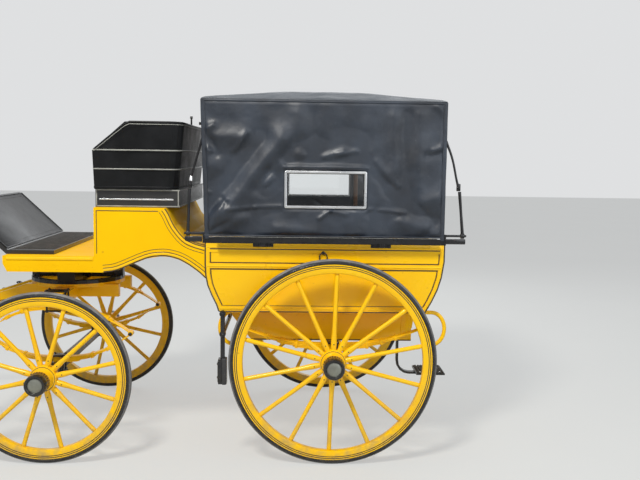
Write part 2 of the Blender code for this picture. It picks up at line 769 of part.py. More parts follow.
def add_step():
    tread_front = STEP_REAR - STEP_TREAD_LENGTH
    under = STEP_HEIGHT - STEP_TREAD_THICKNESS
    half = STEP_TREAD_WIDTH / 2
    tread = box((tread_front, -half, under), (STEP_REAR, half, STEP_HEIGHT), "tread")
    foot = WELL_BOTTOM - SEAT_GAP
    x = STEP_STEM_FRONT
    mid = STEP_STEM_THICKNESS / 2
    line = [(x - STEP_BEND, foot - mid), (x, foot - mid), (x, under + STEP_BEND)]
    for index in range(1, 5):
        angle = math.pi / 2 * index / 4
        line.append((x + STEP_BEND * (1 - math.cos(angle)), under - mid + STEP_BEND * (1 - math.sin(angle))))
    line.append((STEP_REAR - STEP_BEND, under - mid))
    width = STEP_STEM_WIDTH / 2
    stem = ribbon(line, -width, width, STEP_STEM_THICKNESS, 0, "stem")
    node("rear_step", joined(stem, [tread]), "iron")


def side_mouldings():
    """Raised strips along the side: below the top, at the belt and at the foot."""
    face = -half_body - MOULDING_DEPTH
    back = -half_body + SIDE_WALL / 2
    trim = MOULDING_TRIM
    ends = (-BODY_FRONT + trim, BODY_REAR - trim * 2)
    foot_ends = (-BODY_FRONT + FRONT_TURN + trim, BODY_REAR - REAR_TURN - trim)
    strips = []
    for low, (start, stop) in ((MOULDING_TOP, ends), (MOULDING_BELT, ends), (MOULDING_FOOT, foot_ends)):
        strips.append(box((start, face, low), (stop, back, low + MOULDING_WIDTH)))
    return strips


def add_body():
    rear = rear_line(BODY_BOTTOM, BODY_TOP)
    front = front_line()
    side = plate(rear + front[::-1], -half_body, -half_body + SIDE_WALL, name="side")
    both_sides("body_side", joined(side, side_mouldings()), "yellow")
    node("body_front", ribbon(front, -inner_half_body, inner_half_body, END_WALL, 1, "front"), "yellow")
    door_half = DOOR_WIDTH / 2
    quarter = ribbon(rear, -inner_half_body, -door_half - DOOR_PLAY, END_WALL, -1, "quarter")
    other = mirrored(quarter)
    node("rear_quarter_left", quarter, "yellow")
    node("rear_quarter_right", joined(other, gudgeons()), "yellow")
    add_well()
    low = BODY_BOTTOM + FLOOR_BOARD + SEAT_GAP
    seat = box((-SEAT_BOX_FRONT, -inner_half_body, low), (SEAT_BOX_REAR, -SEAT_BOX_INNER, SEAT_BOX_TOP))
    both_sides("seat_box", seat, "wood")
    top = SEAT_BOX_TOP + SEAT_GAP
    pad = box((-SEAT_BOX_FRONT, -inner_half_body + SEAT_GAP, top),
              (SEAT_BOX_REAR, -SEAT_BOX_INNER + CUSHION_NOSE, top + CUSHION_THICKNESS))
    both_sides("seat_cushion", pad, "cloth")


def add_well():
    """Floor boards under the seats with the sunk footwell between them, open at the door."""
    half = WELL_WIDTH / 2
    front = -BODY_FRONT + FRONT_TURN + END_WALL + SEAT_GAP * 3
    rear = BODY_REAR - REAR_TURN - END_WALL - SEAT_GAP * 3
    boards_low, boards_top = BODY_BOTTOM, BODY_BOTTOM + FLOOR_BOARD
    boards = box((front, -inner_half_body, boards_low), (rear, inner_half_body, boards_top), "boards")
    well_rear = BODY_REAR - DOOR_LOW_SET_IN - WELL_REAR_INSET
    lap = FLOOR_BOARD / 2
    outer = [(-WELL_TOP_FRONT, boards_low + lap), (-WELL_MID_FRONT, WELL_MID_HEIGHT),
             (-WELL_FOOT_FRONT, WELL_BOTTOM),
             (well_rear, WELL_BOTTOM), (well_rear, boards_low + lap)]
    tub = plate(outer, -half, half, name="tub")
    wall = WELL_WALL
    inner = [(-WELL_TOP_FRONT + wall, boards_top + OVERRUN), (-WELL_TOP_FRONT + wall, boards_low),
             (-WELL_MID_FRONT + wall, WELL_MID_HEIGHT),
             (-WELL_FOOT_FRONT + wall, WELL_BOTTOM + wall), (well_rear - wall, WELL_BOTTOM + wall),
             (well_rear - wall, boards_top + OVERRUN)]
    hollow = plate(inner, -half + wall, half - wall, name="hollow")
    doorway = box((well_rear - wall - OVERRUN, -DOOR_WIDTH / 2, WELL_BOTTOM + wall),
                  (rear + OVERRUN, DOOR_WIDTH / 2, boards_top + OVERRUN), "doorway")
    node("footwell", cut(joined(boards, [tub]), [hollow, doorway]), "yellow")


def add_door():
    half = DOOR_WIDTH / 2
    axis_x = BODY_REAR + DOOR_HINGE_OUT
    axis_y = half + DOOR_PLAY / 2
    axis = empty("rear_door_axis", (axis_x, axis_y, 0), carriage)
    line = rear_line(DOOR_LOW_EDGE, BODY_TOP)
    panel = ribbon(line, -half, half, DOOR_WALL, -1, "door")
    pieces = []
    for z in hinge_heights():
        reach = DOOR_HINGE_LENGTH / 2
        low, high = z - reach / 2, z + reach / 2
        root = rear_face(low) - DOOR_WALL / 2
        pieces.append(box((root, half - DOOR_HINGE_LENGTH, low), (axis_x, half, high)))
        pieces.append(cylinder(DOOR_HINGE_RADIUS, (axis_x, axis_y, z - reach), (axis_x, axis_y, z + reach),
                               12))
    node("rear_door", joined(panel, pieces), "yellow", axis, origin=(axis_x, axis_y, 0))


def add_boot():
    run = BOOT_BACK - BODY_FRONT
    rise = BOOT_TOP - NECK_TOP
    back = -BODY_FRONT - SEAT_GAP
    neck = [(back - (run - SEAT_GAP) * share_x, NECK_TOP + rise * share_z) for share_x,
            share_z in NECK_SHARES]
    span = ARCH_CROWN - BODY_FRONT
    arch = [(back - (span - SEAT_GAP) * share_x, ARCH_LOW + (ARCH_TOP - ARCH_LOW) * share_z)
            for share_x, share_z in ARCH_SHARES]
    fall = []
    for step in range(1, ARCH_FALL_STEPS + 1):
        share = step / ARCH_FALL_STEPS
        drop = (ARCH_TOP - BOOT_BOTTOM) * (1 - math.cos(math.pi * share)) / 2
        fall.append((-ARCH_CROWN - (ARCH_FRONT - ARCH_CROWN) * share, ARCH_TOP - drop))
    nose = [(-BOOT_FRONT + FOOTBOARD_THICKNESS, BOOT_BOTTOM), (-BOOT_FRONT, (BOOT_BOTTOM + FOOT_FLOOR) / 2),
            (-BOOT_FRONT, FOOT_FLOOR), (-HEEL_FRONT, FOOT_FLOOR), (-HEEL_FRONT, BOOT_TOP)]
    body = plate(neck + nose[::-1] + fall[::-1] + arch[::-1], -half_body, half_body, name="boot")
    node("boot", body, "yellow")
    floor = FOOT_FLOOR + SEAT_GAP + FOOTBOARD_THICKNESS / 2
    line = [(-FOOTBOARD_REAR, floor), (-BOOT_FRONT, floor), (-BOOT_FRONT - TOE_REACH, floor + TOE_RISE)]
    half = FOOTBOARD_WIDTH / 2
    node("footboard", ribbon(line, -half, half, FOOTBOARD_THICKNESS, 0, "footboard"), "iron")
    half = RISER_WIDTH / 2
    low = BOOT_TOP + SEAT_GAP
    node("seat_riser", box((-HEEL_FRONT, -half, low), (-RISER_REAR, half, RISER_TOP)), "iron")


def seat_plan(grow):
    """Half of the seat's wall in plan, from the front of the arm to the middle of the back."""
    side = SEAT_WIDTH / 2 + grow
    rear = -SEAT_REAR + grow
    points = [(-HEEL_FRONT, side), (-HEEL_FRONT + SEAT_ARM_LENGTH, side)]
    for index in range(SEAT_CORNER_STEPS + 1):
        angle = math.pi / 2 * index / SEAT_CORNER_STEPS
        points.append((rear - SEAT_CORNER * (1 - math.sin(angle)),
                       side - SEAT_CORNER * (1 - math.cos(angle))))
    return points + [(x, -y) for x, y in reversed(points)]


def seat_mouldings(low):
    """Two round strips along the seat's outer wall, the upper one from behind the arms."""
    strips = []
    for z, first in ((SEAT_MOULDING_LOW, 0), (SEAT_MOULDING_HIGH, 1)):
        flare = SEAT_FLARE * (z - low) / (SEAT_BACK_TOP - low) + SEAT_WALL / 2
        plan = seat_plan(flare)
        line = [(x, y, z) for x, y in plan[first:len(plan) - first]]
        line[0] = (line[0][0] + SEAT_MOULDING_RADIUS, line[0][1], z)
        line[-1] = (line[-1][0] + SEAT_MOULDING_RADIUS, line[-1][1], z)
        strips.append(tube(line, SEAT_MOULDING_RADIUS))
    return strips


def add_driver_seat():
    low = RISER_TOP + SEAT_GAP
    lean = SEAT_WALL * SEAT_FLARE * math.sqrt(0.5) / (SEAT_BACK_TOP - RISER_TOP)
    shape = bmesh.new()
    rings = []
    for plan, top in ((seat_plan(0), False), (seat_plan(SEAT_FLARE), True)):
        ring = []
        for index, (x, y) in enumerate(plan):
            end = index in (0, len(plan) - 1)
            z = (SEAT_BACK_TOP - (SEAT_ARM_DROP if end else 0)) if top else low + lean
            ring.append(shape.verts.new((x, y, z)))
        rings.append(ring)
    for index in range(len(rings[0]) - 1):
        shape.faces.new((rings[0][index], rings[0][index + 1], rings[1][index + 1], rings[1][index]))
    shell = from_bmesh("shell", shape)
    solid = shell.modifiers.new("wall", "SOLIDIFY")
    solid.thickness = SEAT_WALL
    solid.offset = 0
    node("driver_seat", joined(frozen(shell), seat_mouldings(low)), "leather", smooth=True)
    play = SEAT_WALL + SEAT_CORNER / 4
    inner = SEAT_WIDTH / 2 - play
    pad = box((-HEEL_FRONT, -inner, low), (-SEAT_REAR - play, inner, low + DRIVER_CUSHION_THICKNESS))
    node("driver_cushion", pad, "leather")


def ring_plate(low, high):
    outer = RING_RADIUS + RING_WIDTH / 2
    inner = RING_RADIUS - RING_WIDTH / 2
    ring = turned([(outer, high), (outer, low), (inner, low), (inner, high)], 28, "ring", closed=True)
    ring.data.transform(Matrix.Translation((fore_x, 0, 0)))
    return ring


def add_fore_carriage(turn):
    upper_low = ring_low + RING_THICKNESS + RING_GAP
    upper_top = upper_low + RING_THICKNESS
    bed_top = BOOT_BOTTOM - SEAT_GAP
    half = TOP_BED_WIDTH / 2
    reach = RING_RADIUS + RING_WIDTH / 2
    bed = box((fore_x - half, -reach, upper_top - RING_THICKNESS / 2), (fore_x + half, reach, bed_top),
              "top_bed")
    bar_half = half / 2
    bar = box((fore_x - reach, -bar_half, upper_top - RING_THICKNESS / 2),
              (fore_x + reach, bar_half, bed_top))
    bed_low = ring_low - LOW_BED_HEIGHT
    pin = cylinder(KING_PIN_RADIUS, (fore_x, 0, bed_low), (fore_x, 0, upper_top), BAR_SIDES)
    node("upper_turntable", joined(ring_plate(upper_low, upper_top), [bed, bar, pin]), "iron")

    half = LOW_BED_WIDTH / 2
    span = LOW_BED_SPAN / 2
    ring_top = ring_low + RING_THICKNESS
    low_bed = box((fore_x - half, -span, bed_low), (fore_x + half, span, ring_low + RING_THICKNESS / 2),
                  "low_bed")
    pieces = [ring_plate(ring_low, ring_top)]
    slope_low = SPLINTER_HEIGHT + SPLINTER_SIZE / 2 + SEAT_GAP
    for sign in (-1, 1):
        y = sign * FUTCHELL_SIDE
        width = FUTCHELL_WIDTH / 2
        beam = [(fore_x + FUTCHELL_REAR, bed_low), (fore_x - half, bed_low),
                (splinter_x + SPLINTER_SIZE / 2, slope_low), (splinter_x - SPLINTER_SIZE / 2, slope_low),
                (splinter_x - SPLINTER_SIZE / 2, slope_low + FUTCHELL_WIDTH),
                (fore_x - RING_RADIUS, ring_low + RING_THICKNESS / 2),
                (fore_x + FUTCHELL_REAR, ring_low + RING_THICKNESS / 2)]
        pieces.append(plate(beam, y - width, y + width, name="futchell"))
    lower = joined(low_bed, pieces)
    hole = cylinder(KING_PIN_RADIUS + RUNNING_GAP, (fore_x, 0, bed_low - OVERRUN),
                    (fore_x, 0, ring_top + OVERRUN), BAR_SIDES)
    node("lower_turntable", cut(lower, [hole]), "yellow", turn, origin=(fore_x, 0, 0))

    node("front_axle", axle(fore_x, front_radius), "iron", turn, origin=(fore_x, 0, 0), smooth=True)
    add_front_springs(turn, bed_low)
    add_splinter_bar(turn)


def add_front_springs(turn, bed_low):
    """Full elliptic springs: two leaf stacks that face each other and meet at their eyes."""
    seat = front_radius + AXLE_BEAM / 2 + SEAT_GAP
    top = bed_low - SEAT_GAP
    middle = (seat + top) / 2
    depth = FRONT_LEAF * len(FRONT_LEAF_SHARES)
    camber = middle - seat - depth
    outline = leaf_outline(fore_x, seat, FRONT_SPRING_HALF, camber, FRONT_LEAF, FRONT_LEAF_SHARES)
    y = -FRONT_SPRING_SIDE
    half = SPRING_WIDTH / 2
    lower = plate(outline, y - half, y + half, name="lower_leaves")
    upper = plate([(px, 2 * middle - pz) for px, pz in outline], y - half, y + half, name="upper_leaves")
    eyes = [cylinder(SPRING_EYE_RADIUS, (fore_x + sign * FRONT_SPRING_HALF, y - half, middle),
                     (fore_x + sign * FRONT_SPRING_HALF, y + half, middle), PIN_SIDES) for sign in (-1, 1)]
    both_sides("front_spring", joined(lower, [upper, *eyes]), "yellow", (turn, turn), (fore_x, 0, 0),
               smooth=True)


def add_splinter_bar(turn):
    half = SPLINTER_SIZE / 2
    span = SPLINTER_SPAN / 2
    bar = box((splinter_x - half, -span, SPLINTER_HEIGHT - half),
              (splinter_x + half, span, SPLINTER_HEIGHT + half), "splinter")
    pieces = []
    reach = SHAFT_EYE_LENGTH / 2 + SEAT_GAP
    for sign in (-1, 1):
        y = sign * SHAFT_SIDE
        for out in (-1, 1):
            inner, outer = sorted((y + out * reach, y + out * (reach + SHAFT_LUG)))
            pieces.append(box((shaft_pivot_x - SHAFT_EYE_RADIUS, inner, shaft_pivot_z - SHAFT_EYE_RADIUS),
                              (splinter_x, outer, shaft_pivot_z + SHAFT_EYE_RADIUS)))
        pieces.append(cylinder(SHAFT_PIN_RADIUS, (shaft_pivot_x, y - reach - SHAFT_LUG / 2, shaft_pivot_z),
                               (shaft_pivot_x, y + reach + SHAFT_LUG / 2, shaft_pivot_z), PIN_SIDES))
    node("splinter_bar", joined(bar, pieces), "iron", turn, origin=(fore_x, 0, 0))


def shaft_point(share):
    """Height share of the shaft at a share of its length."""
    for (low_x, low_z), (high_x, high_z) in zip(SHAFT_SHARES, SHAFT_SHARES[1:]):
        if share <= high_x:
            part = (share - low_x) / (high_x - low_x)
            return low_z + (high_z - low_z) * part
    return SHAFT_SHARES[-1][1]


def add_shafts(turn):
    """Built level in front of the pivot, then lowered until the tips rest on the ground."""
    axis = empty("shafts_axis", (shaft_pivot_x - fore_x, 0, shaft_pivot_z), turn)
    axis.rotation_euler = (0, -shaft_rest, 0)
    line = [(-SHAFT_LENGTH * share_x, -SHAFT_SIDE, SHAFT_HEIGHT * share_z) for share_x,
            share_z in SHAFT_SHARES]
    taper = [1 - (1 - SHAFT_TIP_SHARE) * share_x for share_x, share_z in SHAFT_SHARES]
    rod = tube(line, SHAFT_RADIUS, shares=taper)
    eye_half = SHAFT_EYE_LENGTH / 2
    eye = cylinder(SHAFT_EYE_RADIUS, (0, -SHAFT_SIDE - eye_half, 0), (0, -SHAFT_SIDE + eye_half, 0),
                   BAR_SIDES)
    clear = [box((-SHAFT_EYE_RADIUS * 2, -SHAFT_SIDE + out * (eye_half + OVERRUN / 2) - OVERRUN / 2,
                  -OVERRUN),
                 (OVERRUN, -SHAFT_SIDE + out * (eye_half + OVERRUN / 2) + OVERRUN / 2,
                  OVERRUN)) for out in (-1, 1)]
    hole = cylinder(SHAFT_PIN_RADIUS + RUNNING_GAP, (0, -SHAFT_SIDE - OVERRUN, 0),
                    (0, -SHAFT_SIDE + OVERRUN, 0), PIN_SIDES)
    shaft = cut(joined(rod, [eye]), [*clear, hole])
    both_sides("shaft", shaft, "yellow", (axis, axis), smooth=True)
    x = -SHAFT_LENGTH * SHAFT_CROSSBAR_SHARE
    z = SHAFT_HEIGHT * shaft_point(SHAFT_CROSSBAR_SHARE)
    inner = SHAFT_SIDE - SHAFT_RADIUS * (1 - (1 - SHAFT_TIP_SHARE) * SHAFT_CROSSBAR_SHARE) - SEAT_GAP
    bar = cylinder(SHAFT_RADIUS * SHAFT_TIP_SHARE, (x, -inner, z), (x, inner, z), PIN_SIDES)
    node("shaft_crossbar", bar, "yellow", axis, smooth=True)


def roof_height(x, y):
    """Top of the roof: the ridge lies higher at mid-length than at the ends."""
    middle = (HEAD_REAR - HEAD_FRONT) / 2
    half = (HEAD_REAR + HEAD_FRONT) / 2
    along = 1 - ((x - middle) / half) ** 2
    across = 1 - (abs(y) / HEAD_OUTER) ** 2
    return HEAD_CORNER + (HEAD_END_HEIGHT + HEAD_CROWN_HEIGHT * along) * across


def bow_places():
    """The four bows' middles along the carriage: the ends and both sides of the window."""
    return (-BODY_FRONT + BOW_WIDTH / 2, -WINDOW_FRONT - BOW_WIDTH, WINDOW_REAR + BOW_WIDTH,
            HEAD_REAR - BOW_WIDTH / 2)


def roof_sheet(columns, rows, low_x, high_x, outer_y, drop, wall, name):
    shape = bmesh.new()
    grid = []
    for column in range(columns + 1):
        x = low_x + (high_x - low_x) * column / columns
        line = []
        for row in range(rows + 1):
            y = -outer_y + (outer_y - HEAD_RIDGE_GAP / 2) * row / rows
            line.append(shape.verts.new((x, y, roof_height(x, y) - drop)))
        grid.append(line)
    for first, second in zip(grid, grid[1:]):
        for row in range(rows):
            shape.faces.new((first[row], second[row], second[row + 1], first[row + 1]))
    item = from_bmesh(name, shape, recalculate=False)
    solid = item.modifiers.new("wall", "SOLIDIFY")
    solid.thickness = wall
    solid.offset = -1
    return frozen(item)


def add_head():
    sides, roofs = [], []
    for label, sign in (("left", -1), ("right", 1)):
        side = empty(f"head_{label}_axis", (0, sign * HEAD_AXIS_SIDE, head_axis_height), carriage)
        roof = empty(f"roof_{label}_axis",
                     (0, sign * (ROOF_AXIS_SIDE - HEAD_AXIS_SIDE), ROOF_AXIS_HEIGHT - head_axis_height), side)
        sides.append(side)
        roofs.append(roof)
    side_origin = (0, -HEAD_AXIS_SIDE, head_axis_height)
    roof_origin = (0, -ROOF_AXIS_SIDE, ROOF_AXIS_HEIGHT)
    lip = WINDOW_FRAME_WIDTH - WINDOW_LIP
    hole = [(-WINDOW_FRONT + lip, WINDOW_LOW + lip), (WINDOW_REAR - lip, WINDOW_LOW + lip),
            (WINDOW_REAR - lip, WINDOW_HIGH - lip), (-WINDOW_FRONT + lip, WINDOW_HIGH - lip)]
    side_top = HEAD_CORNER - HEAD_LEATHER - CORNER_GAP
    skin = [(-BODY_FRONT, head_low_edge), (HEAD_REAR, head_low_edge), (HEAD_REAR, side_top),
            (-HEAD_FRONT, side_top)]
    inner_face = -HEAD_OUTER + HEAD_LEATHER
    both_sides("head_side", plate(skin, -HEAD_OUTER, inner_face, [hole], "skin"), "leather", sides,
               side_origin)

    outer = [(-WINDOW_FRONT, WINDOW_LOW), (WINDOW_REAR, WINDOW_LOW), (WINDOW_REAR, WINDOW_HIGH),
             (-WINDOW_FRONT, WINDOW_HIGH)]
    edge = WINDOW_FRAME_WIDTH
    opening = [(-WINDOW_FRONT + edge, WINDOW_LOW + edge), (WINDOW_REAR - edge, WINDOW_LOW + edge),
               (WINDOW_REAR - edge, WINDOW_HIGH - edge), (-WINDOW_FRONT + edge, WINDOW_HIGH - edge)]
    face = -HEAD_OUTER - SEAT_GAP
    frame = plate(outer, face - WINDOW_FRAME_DEPTH, face, [opening], "frame")
    both_sides("window_frame", frame, "silver", sides, side_origin)
    trim = lip + SEAT_GAP * 2
    pane = [(-WINDOW_FRONT + trim, WINDOW_LOW + trim), (WINDOW_REAR - trim, WINDOW_LOW + trim),
            (WINDOW_REAR - trim, WINDOW_HIGH - trim), (-WINDOW_FRONT + trim, WINDOW_HIGH - trim)]
    both_sides("window_glass", plate(pane, -HEAD_OUTER, -HEAD_OUTER + GLASS_THICKNESS, name="pane"),
               "glass", sides, side_origin)

    add_side_bows(sides, side_origin, inner_face)
    skin_roof = roof_sheet(ROOF_COLUMNS, ROOF_ROWS, -HEAD_FRONT, HEAD_REAR, HEAD_OUTER, 0, HEAD_LEATHER,
                           "roof")
    both_sides("head_roof", skin_roof, "leather", roofs, roof_origin, smooth=True)
    add_roof_bows(roofs, roof_origin)
    add_sill()


def add_side_bows(sides, origin, inner_face):
    """Upright slats with a rail at the foot, and the two head irons that brace them."""
    low_y, high_y = inner_face + SEAT_GAP, inner_face + SEAT_GAP + BOW_DEPTH
    top = ROOF_AXIS_HEIGHT - ROOF_KNUCKLE_RADIUS - ROOF_PLAY
    foot = head_low_edge
    places = bow_places()
    ends = (places[0], places[-1])
    rail = box((ends[0] - BOW_WIDTH / 2, low_y, foot), (ends[1] + BOW_WIDTH / 2, high_y, foot + BOW_WIDTH),
               "foot_rail")
    pieces = [box((x - BOW_WIDTH / 2, low_y, foot), (x + BOW_WIDTH / 2, high_y, top)) for x in places]
    pieces.append(box((ends[0], low_y, top - BOW_WIDTH), (ends[1], high_y, top)))
    for x in places:
        pieces += knuckle(x - BOW_WIDTH / 2, x - KNUCKLE_GAP / 2, top - BOW_WIDTH)
    for eye_x, end in ((-IRON_FRONT_EYE, ends[0]), (IRON_REAR_EYE, ends[1])):
        reach = eye_x - end
        rise = top - head_axis_height
        y = -HEAD_AXIS_SIDE
        in_y = low_y + IRON_RADIUS
        line = [(eye_x, y, head_axis_height + IRON_EYE_RADIUS / 2)]
        for reach_share, rise_share in IRON_KNEE_SHARES:
            line.append((eye_x - reach * reach_share, in_y, head_axis_height + rise * rise_share))
        line.append((end, in_y, head_axis_height + rise * IRON_MEETING_SHARE))
        pieces.append(tube(line, IRON_RADIUS))
        knee_x, _, knee_z = line[1]
        pieces.append(cylinder(IRON_KNUCKLE_RADIUS, (knee_x, in_y - IRON_KNUCKLE_RADIUS, knee_z),
                               (knee_x, in_y + IRON_RADIUS, knee_z), PIN_SIDES))
        half = IRON_EYE_LENGTH / 2
        pieces.append(cylinder(IRON_EYE_RADIUS, (eye_x - half, y, head_axis_height),
                               (eye_x + half, y, head_axis_height), BAR_SIDES))
    frame = joined(rail, pieces)
    holes = [cylinder(IRON_PIN_RADIUS + RUNNING_GAP, (eye_x - OVERRUN, -HEAD_AXIS_SIDE, head_axis_height),
                      (eye_x + OVERRUN, -HEAD_AXIS_SIDE, head_axis_height),
                      12) for eye_x in (-IRON_FRONT_EYE, IRON_REAR_EYE)]
    both_sides("head_side_frame", cut(frame, holes), "iron", sides, origin)


def knuckle(low_x, high_x, root):
    """Half of a hinge on the roof's axis, on a lug that reaches to its root height."""
    y, z = -ROOF_AXIS_SIDE, ROOF_AXIS_HEIGHT
    half = ROOF_LUG_WIDTH / 2
    low, high = sorted((root, z))
    lug = box((low_x + KNUCKLE_GAP, y - half, low), (high_x - KNUCKLE_GAP, y + half, high))
    return [lug, cylinder(ROOF_KNUCKLE_RADIUS, (low_x, y, z), (high_x, y, z), 8)]


def add_roof_bows(roofs, origin):
    """Bows across the half roof, tied by a rail along the corner and one along the ridge."""
    facet_sag = HEAD_CROWN_HEIGHT / ROOF_COLUMNS ** 2
    steepest = 2 * (HEAD_END_HEIGHT + HEAD_CROWN_HEIGHT) / HEAD_OUTER
    drop = HEAD_LEATHER * math.hypot(1, steepest) + ROOF_PLAY + facet_sag
    bow_half = BOW_WIDTH / 2
    places = bow_places()
    ends = (places[0], places[-1])
    outer_y = HEAD_OUTER - HEAD_LEATHER - CORNER_GAP
    bows = [roof_sheet(1, ROOF_ROWS, x - bow_half, x + bow_half, outer_y, drop, ROOF_BOW_DEPTH,
                       "bow") for x in places]
    ridge_y = -HEAD_RIDGE_GAP / 2
    rails = []
    for y in (-outer_y + bow_half, ridge_y - bow_half):
        line = []
        for step in range(ROOF_RAIL_STEPS + 1):
            x = ends[0] + (ends[1] - ends[0]) * step / ROOF_RAIL_STEPS
            line.append((x, roof_height(x, y) - drop - ROOF_RAIL_SINK))
        rail_half = ROOF_RAIL_WIDTH / 2
        rails.append(ribbon(line, y - rail_half, y + rail_half, ROOF_RAIL_DEPTH, 1, "rail"))
    lugs = []
    for x in places:
        lugs += knuckle(x + KNUCKLE_GAP / 2, x + bow_half,
                        roof_height(x, ROOF_AXIS_SIDE) - drop - ROOF_BOW_DEPTH / 2)
    both_sides("head_roof_frame", joined(bows[0], [rails[0], rails[1], *bows[1:], *lugs]), "wood", roofs,
               origin)


def add_sill():
    """Rail on the body's top that carries the head's pivots, and the rest rail outside it."""
    low = BODY_TOP + SEAT_GAP
    outer = -half_body
    lug_play = DOOR_PLAY
    past = lug_play + SHAFT_LUG
    sill = box((-BODY_FRONT - past, outer, low), (HEAD_REAR + past, outer + SILL_WIDTH, sill_top), "sill")
    pieces = []
    for eye_x, end, sign in ((-IRON_FRONT_EYE, -BODY_FRONT, -1), (IRON_REAR_EYE, HEAD_REAR, 1)):
        tip = eye_x + sign * IRON_EYE_LENGTH
        lug = sorted((end + sign * lug_play, end + sign * past))
        pieces.append(box((lug[0], -HEAD_AXIS_SIDE - IRON_EYE_RADIUS / 2, low),
                          (lug[1], -HEAD_AXIS_SIDE + IRON_EYE_RADIUS / 2,
                           head_axis_height + IRON_PIN_RADIUS)))
        pieces.append(cylinder(IRON_PIN_RADIUS,
                               (end + sign * (lug_play + SHAFT_LUG / 2), -HEAD_AXIS_SIDE, head_axis_height),
                               (tip, -HEAD_AXIS_SIDE, head_axis_height), PIN_SIDES))
    both_sides("head_sill", joined(sill, pieces), "iron")

    half = REST_RAIL_SIZE / 2
    rail = box((-REST_RAIL_FRONT, -REST_RAIL_SIDE - half / 2, REST_RAIL_TOP - REST_RAIL_SIZE),
               (REST_RAIL_REAR, -REST_RAIL_SIDE + half, REST_RAIL_TOP), "rest_rail")
    feet = []
    foot_top = BODY_TOP + REST_FOOT_HEIGHT / 4
    for x in REST_FOOT_PLACES:
        outer = -half_body - SEAT_GAP
        feet.append(box((x - REST_FOOT_WIDTH / 2, outer - HEAD_LEATHER, foot_top - REST_FOOT_HEIGHT),
                        (x + REST_FOOT_WIDTH / 2, outer, foot_top)))
        feet.append(box((x - half / 2, -REST_RAIL_SIDE, foot_top - REST_FOOT_HEIGHT / 2),
                        (x + half / 2, outer - HEAD_LEATHER / 2, REST_RAIL_TOP - half)))
    both_sides("head_rest_rail", joined(rail, feet), "iron")


def build():
    add_wheels("rear", rear_radius, REAR_SPOKE_COUNT, 0, carriage, 0)
    add_rear_gear()
    add_scroll_irons()
    add_brake()
    add_step()
    add_body()
    add_door()
    add_boot()
    add_driver_seat()
    turn = empty("steering_axis", (fore_x, 0, 0), carriage)
    add_wheels("front", front_radius, FRONT_SPOKE_COUNT, fore_x, turn, fore_x)
    add_fore_carriage(turn)
    add_shafts(turn)
    add_head()


build()
for leftover in list(cutters.objects):
    bpy.data.objects.remove(leftover, do_unlink=True)
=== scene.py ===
from math import atan, copysign, cos, exp, hypot, pi, radians, sin

import bmesh
import bpy
from mathutils import Matrix, Vector, noise
from mathutils.bvhtree import BVHTree


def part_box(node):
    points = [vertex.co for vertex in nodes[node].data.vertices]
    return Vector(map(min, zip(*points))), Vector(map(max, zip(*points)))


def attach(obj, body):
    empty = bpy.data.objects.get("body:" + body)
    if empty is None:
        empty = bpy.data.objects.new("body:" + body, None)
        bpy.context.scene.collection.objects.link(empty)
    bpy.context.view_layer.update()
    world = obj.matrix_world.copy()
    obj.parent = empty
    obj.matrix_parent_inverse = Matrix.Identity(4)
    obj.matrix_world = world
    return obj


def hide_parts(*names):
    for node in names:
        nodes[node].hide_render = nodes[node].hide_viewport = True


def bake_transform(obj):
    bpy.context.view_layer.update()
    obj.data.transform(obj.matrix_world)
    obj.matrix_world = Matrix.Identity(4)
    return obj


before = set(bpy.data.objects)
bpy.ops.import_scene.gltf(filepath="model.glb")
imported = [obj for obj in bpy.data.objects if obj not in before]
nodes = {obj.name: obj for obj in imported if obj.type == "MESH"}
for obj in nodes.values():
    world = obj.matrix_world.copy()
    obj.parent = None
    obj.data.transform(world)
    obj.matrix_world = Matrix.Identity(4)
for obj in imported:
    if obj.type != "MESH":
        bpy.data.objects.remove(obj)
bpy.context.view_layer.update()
sides = (("left", -1), ("right", 1))
mergeDistance = 0.00001


def say(text):
    print("stage:", text, flush=True)


# Places read from the frame. Lengths along the carriage are counted from the rear axle.
tyreLow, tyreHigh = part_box("rear_tyre_left")
foreLow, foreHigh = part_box("front_tyre_left")
rearX = (tyreLow.x + tyreHigh.x) / 2
foreX = (foreLow.x + foreHigh.x) / 2
rearRadius = tyreHigh.z / 2
foreRadius = foreHigh.z / 2
wheelY = -(tyreLow.y + tyreHigh.y) / 2
bodyLow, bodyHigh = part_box("body_side_left")
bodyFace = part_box("boot")[1].y


def vec(*parts):
    return Vector(parts)


def at(x, y, z):
    return Vector((rearX + x, y, z))


# Shapes
def skin(shape, rings, ringClosed=True, pathClosed=False, material=0):
    made = [[shape.verts.new(point) for point in ring] for ring in rings]
    pairs = list(zip(made, made[1:]))
    if pathClosed:
        pairs.append((made[-1], made[0]))
    count = len(made[0])
    for first, second in pairs:
        for index in range(count if ringClosed else count - 1):
            after = (index + 1) % count
            face = shape.faces.new((first[index], first[after], second[after], second[index]))
            face.material_index = material if isinstance(material, int) else material[index]
    if ringClosed and not pathClosed:
        for ring in (made[0][::-1], made[-1]):
            face = shape.faces.new(ring)
            face.material_index = material if isinstance(material, int) else material[0]
    return made


# Profile rows are (radius, along), about the matrix's own Z.
def revolve(shape, profile, steps, matrix, materials=0, closed=False):
    rings = []
    for step in range(steps):
        turn = 2 * pi * step / steps
        rings.append([matrix @ vec(radius * cos(turn), radius * sin(turn), along) for radius, along in profile])
    skin(shape, rings, ringClosed=closed, pathClosed=True, material=materials)


def circle(radius, steps=12, flat=1.0):
    return [(radius * cos(2 * pi * i / steps), radius * flat * sin(2 * pi * i / steps)) for i in range(steps)]


